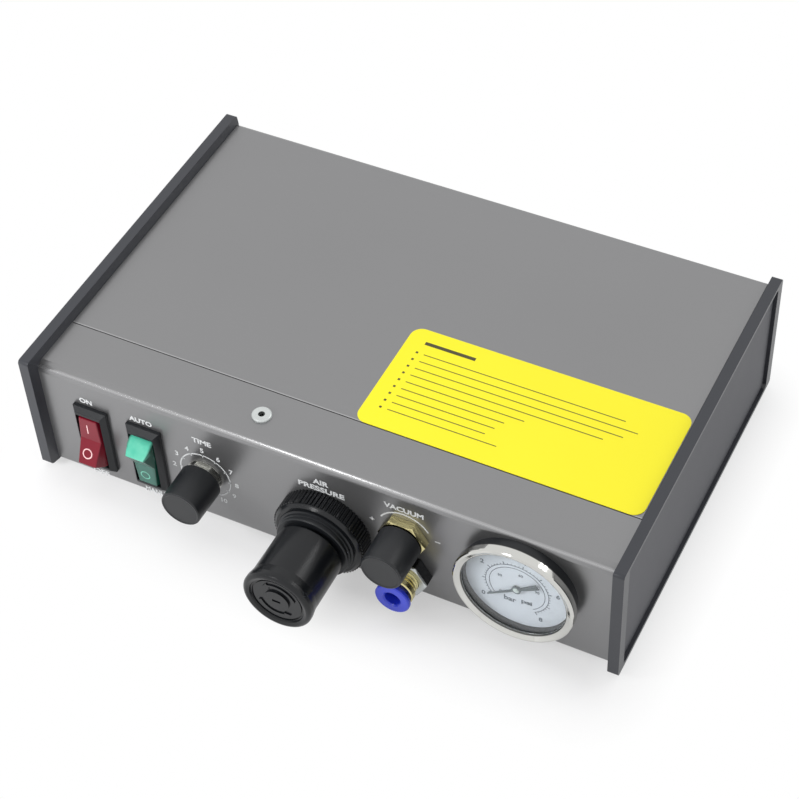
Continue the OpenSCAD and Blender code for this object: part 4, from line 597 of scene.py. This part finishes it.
# Which finish each node of the frame gets
finishes = {
    sheetLook: "chassis rear_panel top_cover",
    frameLook: "left_end_frame right_end_frame",
    sideLook: "left_side_panel right_side_panel",
    nickelLook: "case_screws time_pot_nut time_shaft regulator_spindle vacuum_needle gauge_bracket "
                "solenoid_plunger inlet_fitting foot_switch_socket",
    rubberLook: "rubber_feet",
    rivetLook: "cover_rivet outlet_washer",
    labelLook: "label_plate",
    switchBlackLook: "power_switch_body mode_switch_body mains_inlet fuse_drawer gauge_case solenoid_coil "
                     "regulator_bonnet",
    redLook: "power_rocker",
    greenLook: "mode_rocker",
    knobLook: "time_knob vacuum_knob",
    glossBlackLook: "regulator_knob regulator_nut outlet_nut",
    brassLook: "regulator_carrier vacuum_valve_body vacuum_valve_nut outlet_fitting gauge_movement "
               "board_standoffs",
    zincLook: "time_pot_body regulator_body solenoid_valve vacuum_ejector",
    chromeLook: "gauge_bezel",
    blueLook: "outlet_collet inlet_collet",
    springLook: "regulator_spring solenoid_spring",
    dialLook: "gauge_dial",
    needleLook: "gauge_needle",
    lensLook: "gauge_lens",
    tubeLook: "air_tubes",
    bronzeLook: "exhaust_silencer",
    boardLook: "control_board",
    coreLook: "transformer_core",
    windingLook: "transformer_coil",
    partsLook: "board_parts",
    fuseLook: "fuse",
    diaphragmLook: "regulator_diaphragm",
}
looks = {makeLook: makeLook() for makeLook in finishes}
dressed = set()
for makeLook, names in finishes.items():
    for name in names.split():
        for place in nodes[name].material_slots:
            place.material = looks[makeLook].material
        dressed.add(name)
print("finishes on", len(dressed), "nodes; left over:", sorted(set(nodes) - dressed))

# Rounded edges: how wide in mm, on which nodes; flat and sharp are angles in degrees
edgeValues = dict(weld=0.001 * mm, flat=0.6, sharp=32, steps=2)
edgeWidths = {
    0.45: "left_end_frame right_end_frame",
    0.3: "power_switch_body mode_switch_body mains_inlet foot_switch_socket",
    0.25: "power_rocker mode_rocker outlet_nut vacuum_valve_nut time_pot_nut fuse_drawer rubber_feet "
          "case_screws",
    0.15: "rear_panel left_side_panel right_side_panel regulator_nut outlet_washer",
    0.06: "chassis top_cover",
}


def softEdge(node, width):
    v = edgeValues
    weld = node.modifiers.new("weld", "WELD")
    weld.merge_threshold = v["weld"]
    flat = node.modifiers.new("flat", "DECIMATE")
    flat.decimate_type = "DISSOLVE"
    flat.angle_limit = math.radians(v["flat"])
    edge = node.modifiers.new("edge", "BEVEL")
    edge.width = width * mm
    edge.segments = v["steps"]
    edge.limit_method = "ANGLE"
    edge.angle_limit = math.radians(v["sharp"])


for width, names in edgeWidths.items():
    for name in names.split():
        softEdge(nodes[name], width)
print("edges softened")

onFront = Matrix(((1, 0, 0), (0, 0, -1), (0, 1, 0)))                 # across, up and out from the panel
printValues = dict(lift=0.02, thick=0.05, bold=0.035, smooth=4)      # lift and thickness in mm


def frontPlace(at, aside, up, out):
    # A point beside and above a place on the front, and out from the panel, in mm
    return Vector((at.x + aside * mm, panelY - out * mm, at.z + up * mm))


def onCircle(radius, degrees):
    # How far aside and up a point of a circle lies; angles run from the right towards up
    return radius * math.cos(math.radians(degrees)), radius * math.sin(math.radians(degrees))


# Printed marks: points and faces gathered for one piece; radii, sizes and levels in mm
class Marks:
    def __init__(self):
        self.points = []
        self.faces = []

    def add(self, points, faces):
        first = len(self.points)
        self.points += points
        self.faces += [[first + corner for corner in face] for face in faces]

    def bar(self, corner, across, up, thick):
        # A slab from a corner along two edges, raised by the third, all in metres
        corner, across, up, thick = Vector(corner), Vector(across), Vector(up), Vector(thick)
        base = [corner, corner + across, corner + across + up, corner + up]
        self.add(base + [point + thick for point in base],
                 [[3, 2, 1, 0], [4, 5, 6, 7], [0, 1, 5, 4], [1, 2, 6, 5], [2, 3, 7, 6], [3, 0, 4, 7]])

    def band(self, centre, turn, radii, levels, start=0, end=360, steps=48):
        # A flat band round a centre, over angles in degrees; turn holds the surface's own axes
        whole = end - start == 360
        rows = steps if whole else steps + 1
        inner, outer = radii
        low, high = levels
        points, faces = [], []
        for row in range(rows):
            degrees = start + (end - start) * row / steps
            for radius, level in ((inner, low), (outer, low), (outer, high), (inner, high)):
                points.append(centre + turn @ Vector((*onCircle(radius, degrees), level)) * mm)
        for row in range(steps):
            this, after = row * 4, (row + 1) % rows * 4
            for k in range(4):
                faces.append([this + k, after + k, after + (k + 1) % 4, this + (k + 1) % 4])
        if not whole:
            faces += [[0, 1, 2, 3], [steps * 4 + k for k in (3, 2, 1, 0)]]
        self.add(points, faces)

    def tick(self, at, degrees, start, length, wide, out, thick):
        # A short line on the front that points away from a place, from a radius outwards
        along = onFront @ Vector((*onCircle(1, degrees), 0)) * mm
        side = onFront @ Vector((*onCircle(1, degrees + 90), 0)) * mm
        corner = frontPlace(at, 0, 0, out) + along * start - side * wide / 2
        self.bar(corner, side * wide, along * length, (0, -thick * mm, 0))

    def word(self, text, centre, height, width=None, bold=printValues["bold"], thick=printValues["thick"]):
        # Letters that stand up on the front; without a width they keep the font's own shape
        drawn = bpy.data.curves.new("word", "FONT")
        drawn.body = text
        drawn.resolution_u = printValues["smooth"]
        drawn.offset = bold
        drawn.extrude = 0.5
        holder = bpy.data.objects.new("word", drawn)
        scene.collection.objects.link(holder)
        bpy.context.view_layer.update()
        mesh = bpy.data.meshes.new_from_object(holder.evaluated_get(bpy.context.evaluated_depsgraph_get()))
        corners = [corner.co.copy() for corner in mesh.vertices]
        low = [min(corner[k] for corner in corners) for k in range(3)]
        high = [max(corner[k] for corner in corners) for k in range(3)]
        tall = height / (high[1] - low[1])
        wide = width / (high[0] - low[0]) if width else tall
        deep = thick / (high[2] - low[2])
        middleX, middleY = (low[0] + high[0]) / 2, (low[1] + high[1]) / 2
        points = []
        for x, y, z in corners:
            flat = Vector(((x - middleX) * wide, (y - middleY) * tall, (z - low[2]) * deep))
            points.append(centre + onFront @ flat * mm)
        self.add(points, [list(face.vertices) for face in mesh.polygons])
        bpy.data.objects.remove(holder)
        bpy.data.curves.remove(drawn)
        bpy.data.meshes.remove(mesh)

    def words(self, rows):
        for text, at, aside, up, height, width in rows:
            self.word(text, frontPlace(at, aside, up, printValues["lift"]), height, width)

    def made(self, name, look, body, slot):
        mesh = bpy.data.meshes.new(name)
        mesh.from_pydata(self.points, [], self.faces)
        closed = bmesh.new()
        closed.from_mesh(mesh)
        bmesh.ops.remove_doubles(closed, verts=closed.verts, dist=1e-7)
        bmesh.ops.recalc_face_normals(closed, faces=closed.faces)
        closed.to_mesh(mesh)
        closed.free()
        mesh.materials.append(look.material)
        piece = bpy.data.objects.new(name, mesh)
        scene.collection.objects.link(piece)
        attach(piece, body)


# Words beside the switches: text, place, how far aside and up from it, height and width, in mm
switchWords = (("ON", powerAt, -1.8, 18.0, 2.5, 5.4), ("OFF", powerAt, -1.5, -20.7, 2.5, 7.0),
               ("AUTO", modeAt, -1.0, 18.0, 2.5, 9.6), ("MANU", modeAt, -0.2, -20.4, 2.5, 8.6))


def switchLegends():
    legend = Marks()
    legend.words(switchWords)
    legend.made("switch_legends", whiteInk, "case", "sheet")


# Bar and ring on the rockers, sunk a little into the front faces; sizes in mm
rockerValues = dict(ringRadius=1.6, ringWidth=0.45, ringAside=-0.5, ringDown=0.8, ringSteps=40,
                    barHeight=4.4, barWidth=0.45, barAside=-0.6, barUp=0.3,
                    sunk=0.02, ringThick=0.07, barThick=0.06, facing=0.75, sideways=0.1, level=0.9995)


def rockerHalf(name, upper):
    # Middle and axes of the rocker's upper or lower front face, from the node's own mesh
    v = rockerValues
    height = middle(name).z
    faces = [face for face in nodes[name].data.polygons if face.normal.y < -v["facing"]
             and abs(face.normal.x) < v["sideways"] and (face.center.z > height) == upper]
    normal = max(faces, key=lambda face: face.area).normal.copy()
    flat = [face for face in faces if face.normal.dot(normal) > v["level"]]
    centre = sum((face.center * face.area for face in flat), Vector()) / sum(face.area for face in flat)
    across = Vector((1, 0, 0))
    return centre, Matrix((across, normal.cross(across), normal)).transposed()


def rockerBar(marks, name):
    v = rockerValues
    centre, turn = rockerHalf(name, True)
    across, up, out = (axis * mm for axis in turn.col)
    corner = centre + across * (v["barAside"] - v["barWidth"] / 2) + up * (v["barUp"] - v["barHeight"] / 2)
    marks.bar(corner - out * v["sunk"], across * v["barWidth"], up * v["barHeight"], out * v["barThick"])


def rockerRing(marks, name):
    v = rockerValues
    centre, turn = rockerHalf(name, False)
    centre = centre + turn @ Vector((v["ringAside"], -v["ringDown"], 0)) * mm
    radii = (v["ringRadius"], v["ringRadius"] + v["ringWidth"])
    marks.band(centre, turn, radii, (-v["sunk"], v["ringThick"] - v["sunk"]), steps=v["ringSteps"])


def powerMarks():
    marks = Marks()
    rockerBar(marks, "power_rocker")
    rockerRing(marks, "power_rocker")
    marks.made("power_rocker_marks", roseInk, "power_rocker", "red")


def modeMarks():
    marks = Marks()
    rockerRing(marks, "mode_rocker")
    marks.made("mode_rocker_marks", paleInk, "mode_rocker", "green")


# Numbers 0 to 10 round the time knob, with a scale; lengths in mm, angles in degrees
timeValues = dict(words=(("TIME", timeAt, 0.4, 17.7, 2.5, 7.8),), last=10, first=240, step=30,
                  numberAt=13.0, numberHeight=2.4, numberBold=0.03,
                  scale=(10.1, 10.6), tickFrom=9.4, tickLength=1.2, tickWide=0.4)


def timeLegend():
    v = timeValues
    lift, thick = printValues["lift"], printValues["thick"]
    legend = Marks()
    legend.words(v["words"])
    legend.band(frontPlace(timeAt, 0, 0, 0), onFront, v["scale"], (lift, lift + thick),
                v["first"], v["first"] - v["step"] * v["last"])
    for number in range(v["last"] + 1):
        degrees = v["first"] - v["step"] * number
        centre = frontPlace(timeAt, *onCircle(v["numberAt"], degrees), lift)
        legend.word(str(number), centre, v["numberHeight"], bold=v["numberBold"])
        legend.tick(timeAt, degrees, v["tickFrom"], v["tickLength"], v["tickWide"], lift, thick)
    legend.made("time_legend", whiteInk, "case", "sheet")


# Words over the air controls, and an arc from plus to minus over the vacuum knob
airValues = dict(
    words=(("AIR", regulatorAt, -0.7, 22.8, 2.6, 6.2), ("PRESSURE", regulatorAt, -0.7, 19.2, 2.6, 18.2),
           ("VACUUM", vacuumAt, 0, 12.7, 2.5, 15.2)),
    arc=(10.15, 10.75), arcFrom=150, arcTo=29, plusAt=(-12.6, 2.1), plusHeight=1.8, plusBold=0.02,
    minusAt=(11.6, 1.6), minusWide=2.0, minusHeight=0.6)


def airLegends():
    v = airValues
    lift, thick = printValues["lift"], printValues["thick"]
    legend = Marks()
    legend.words(v["words"])
    legend.band(frontPlace(vacuumAt, 0, 0, 0), onFront, v["arc"], (lift, lift + thick),
                v["arcFrom"], v["arcTo"])
    legend.word("+", frontPlace(vacuumAt, *v["plusAt"], lift), v["plusHeight"], bold=v["plusBold"])
    legend.bar(frontPlace(vacuumAt, *v["minusAt"], lift), (v["minusWide"] * mm, 0, 0),
               (0, 0, v["minusHeight"] * mm), (0, -thick * mm, 0))
    legend.made("air_legends", whiteInk, "case", "sheet")


switchLegends()
powerMarks()
modeMarks()
timeLegend()
airLegends()
print("front legends printed")

# Yellow label: a blank sticker with ruled lines, each after a dot; sizes in mm
labelValues = dict(lift=0.005, thick=0.03, left=9, top=8.4, spare=15, spread=0.94,
                   heading=(20, 1.5), headingAt=(-2, 1.2), dot=(0.9, 0.9), dotAt=(-3.2, -0.2),
                   rule=0.35, rules=(78, 84, 80, 74, 46, 40, 38, 36, 42))


def ruledLabel():
    v = labelValues
    low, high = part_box("label_plate")
    pitch = ((high.y - low.y) / mm - v["spare"]) / len(v["rules"]) * v["spread"]
    bars = [(*v["headingAt"], *v["heading"])]
    for row, length in enumerate(v["rules"], 1):
        bars.append((0, -row * pitch, length, v["rule"]))
        bars.append((v["dotAt"][0], v["dotAt"][1] - row * pitch, *v["dot"]))
    label = Marks()
    for x, y, length, width in bars:
        corner = (low.x + (v["left"] + x) * mm, high.y - (v["top"] - y) * mm, high.z + v["lift"] * mm)
        label.bar(corner, (length * mm, 0, 0), (0, width * mm, 0), (0, 0, v["thick"] * mm))
    label.made("label_rules", labelInk, "case", "sticker")


# Print on the gauge's dial: 0 to 8 bar outside, 0 to 120 psi inside; lengths in mm, angles in degrees
dialValues = dict(
    lift=0.02, thick=0.04, zero=215, sweep=270, marks=40, perLong=5, perNumber=10,
    rings=(11.6, 10.2), ringWide=0.25, ringThick=0.05, ringSteps=90,
    markFrom=11.6, long=(1.5, 0.34), short=(0.8, 0.2),
    bar=dict(each=0.2, at=15.4, height=2.2, bold=0.03), psi=dict(each=3, at=7.6, height=1.3, bold=0.02),
    units=(("bar", -2.6, -7.0, 4.6), ("psi", 3.6, -6.2, 4.0)), unitHeight=2.6, unitBold=0.02)


def dialPrint():
    v = dialValues
    level = (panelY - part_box("gauge_dial")[0].y) / mm + v["lift"]
    dial = Marks()
    for inner in v["rings"]:
        dial.band(frontPlace(gaugeAt, 0, 0, 0), onFront, (inner, inner + v["ringWide"]),
                  (level, level + v["ringThick"]), v["zero"], v["zero"] - v["sweep"], v["ringSteps"])
    for mark in range(v["marks"] + 1):
        degrees = v["zero"] - v["sweep"] * mark / v["marks"]
        length, wide = v["short"] if mark % v["perLong"] else v["long"]
        dial.tick(gaugeAt, degrees, v["markFrom"], length, wide, level, v["thick"])
        if mark % v["perNumber"] == 0:
            for scale in (v["bar"], v["psi"]):
                number = str(round(mark * scale["each"]))
                centre = frontPlace(gaugeAt, *onCircle(scale["at"], degrees), level)
                dial.word(number, centre, scale["height"], None, scale["bold"], v["thick"])
    for text, aside, up, width in v["units"]:
        centre = frontPlace(gaugeAt, aside, up, level)
        dial.word(text, centre, v["unitHeight"], width, v["unitBold"], v["thick"])
    dial.made("dial_print", greyInk, "case", "dial")


ruledLabel()
dialPrint()
print("label and dial printed")


def springCopy(node, name):
    coil = bpy.data.objects.new(name, nodes[node].data.copy())
    scene.collection.objects.link(coil)
    for place in coil.material_slots:
        place.material = looks[springLook].material
    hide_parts(node)
    return coil


def plungerSpring():
    # A copy of the valve's spring on the case, with a mesh of its own
    coil = springCopy("solenoid_spring", "plunger_spring")
    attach(coil, "case")
    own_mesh(coil)


def nutSpring():
    # A copy of the regulator's spring, its place baked into its mesh
    coil = springCopy("regulator_spring", "nut_spring")
    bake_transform(coil)


plungerSpring()
nutSpring()
print("springs made")

# Plain light from all round, and how bright what is seen behind the object is, where 1 is white
studioValues = dict(light=0.6, seen=1.0)
white = (1, 1, 1, 1)

# Floor: it starts to turn white past the shares shadeX and shadeY of the object's own reach
floorValues = dict(colour=paint(240, 240, 241), rough=0.7, specular=0.2, roughFrom=0.68, cloud=(3, 2, 0.5),
                   cloudRough=0.06, size=6.0, shadeX=0.9, shadeY=0.7, near=0.45, fade=0.03, mirrored=0.65)


def floorLook():
    # Pale floor that turns to plain white away from the object, for what sees it straight or in a mirror
    v = floorValues
    look = Look("pale floor", v["colour"], rough=v["rough"], specular=v["specular"])
    cloud = look.noise(*v["cloud"])
    look.feed(rough=v["roughFrom"] + cloud * v["cloudRough"])
    low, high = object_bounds()
    across = (abs(look.axis("X")) - high.x * v["shadeX"]).most(0)
    along = (abs(look.axis("Y")) - high.y * v["shadeY"]).most(0)
    away = (across * across + along * along) ** 0.5
    share = (away / v["fade"] * (1 - v["near"]) + v["near"]).least(1)
    glow = look.node("ShaderNodeEmission", {}, {"Color": white, "Strength": studioValues["seen"]})
    look.shown(glow, look.seen(v["mirrored"]) * share)
    return look


def studioFloor():
    mesh = bpy.data.meshes.new("floor")
    reach = floorValues["size"]
    corners = [(-reach, -reach, 0), (reach, -reach, 0), (reach, reach, 0), (-reach, reach, 0)]
    mesh.from_pydata(corners, [], [(0, 1, 2, 3)])
    mesh.materials.append(floorLook().material)
    floor = bpy.data.objects.new("floor", mesh)
    scene.collection.objects.link(floor)


def studioWorld():
    world = bpy.data.worlds.new("studio")
    world.use_nodes = True
    scene.world = world
    sky = Nodes(world.node_tree, "Background", "World Output")
    sky.shader.inputs["Color"].default_value = white
    sky.shader.inputs["Strength"].default_value = studioValues["light"]
    behind = sky.node("ShaderNodeBackground", {}, {"Color": white, "Strength": studioValues["seen"]})
    sky.shown(behind, sky.seen(1))


# Lamps: place, size and aim in metres; brightness is what the lamp's own face shows, where 1 is white
lampValues = (dict(name="overhead", place=(-0.5, 0.9, 2.4), size=3.0, brightness=1.1, gloss=False),
              dict(name="near_left", place=(-0.30, -0.32, 0.22), size=0.14, brightness=22.0, gloss=False,
                   aim=(-0.09, -0.07, 0.01)),
              dict(name="fold", place=(-0.8, -1.75, 1.4), size=0.5, brightness=8.0),
              dict(name="left_strip", place=(1.27, 1.4, 1.25), size=0.1, length=1.4, brightness=6.0),
              dict(name="right_strip", place=(1.53, 1.4, 1.25), size=0.1, length=1.4, brightness=6.0))


def softLamp(name, place, size, brightness, length=None, gloss=True, aim=(0, 0, 0.02)):
    lamp = bpy.data.lights.new(name, "AREA")
    lamp.shape = "ELLIPSE"
    lamp.size = size
    lamp.size_y = length or size
    lamp.energy = brightness * math.pi * math.pi * lamp.size * lamp.size_y / 4
    holder = bpy.data.objects.new(name, lamp)
    holder.location = place
    holder.rotation_euler = (Vector(aim) - Vector(place)).to_track_quat("-Z", "Y").to_euler()
    holder.visible_glossy = gloss
    scene.collection.objects.link(holder)


studioFloor()
studioWorld()
for values in lampValues:
    softLamp(**values)

# The camera's offset starts on the floor, half-way between the end frames; angles in degrees
cameraValues = dict(azimuth=29.04, elevation=47.22, roll=-3.38, lens=92.57, sensor=36, nearest=0.01,
                    offset=(0.2534, -0.46315, 0.5848))


def studioCamera():
    v = cameraValues
    turn, rise, roll = (math.radians(v[key]) for key in ("azimuth", "elevation", "roll"))
    back = Vector((math.sin(turn) * math.cos(rise), -math.cos(turn) * math.cos(rise), math.sin(rise)))
    right = Vector((0, 0, 1)).cross(back).normalized()
    up = back.cross(right)
    across = math.cos(roll) * right + math.sin(roll) * up
    upward = -math.sin(roll) * right + math.cos(roll) * up
    lens = bpy.data.cameras.new("camera")
    lens.sensor_width = v["sensor"]
    lens.lens = v["lens"]
    lens.clip_start = v["nearest"]
    holder = bpy.data.objects.new("camera", lens)
    place = Vector(v["offset"]) + Vector((0, middle("left_end_frame").y, 0))
    holder.matrix_world = Matrix.Translation(place) @ Matrix((across, upward, back)).transposed().to_4x4()
    scene.collection.objects.link(holder)
    scene.camera = holder


studioCamera()
scene.view_settings.view_transform = "Standard"
print("studio set")
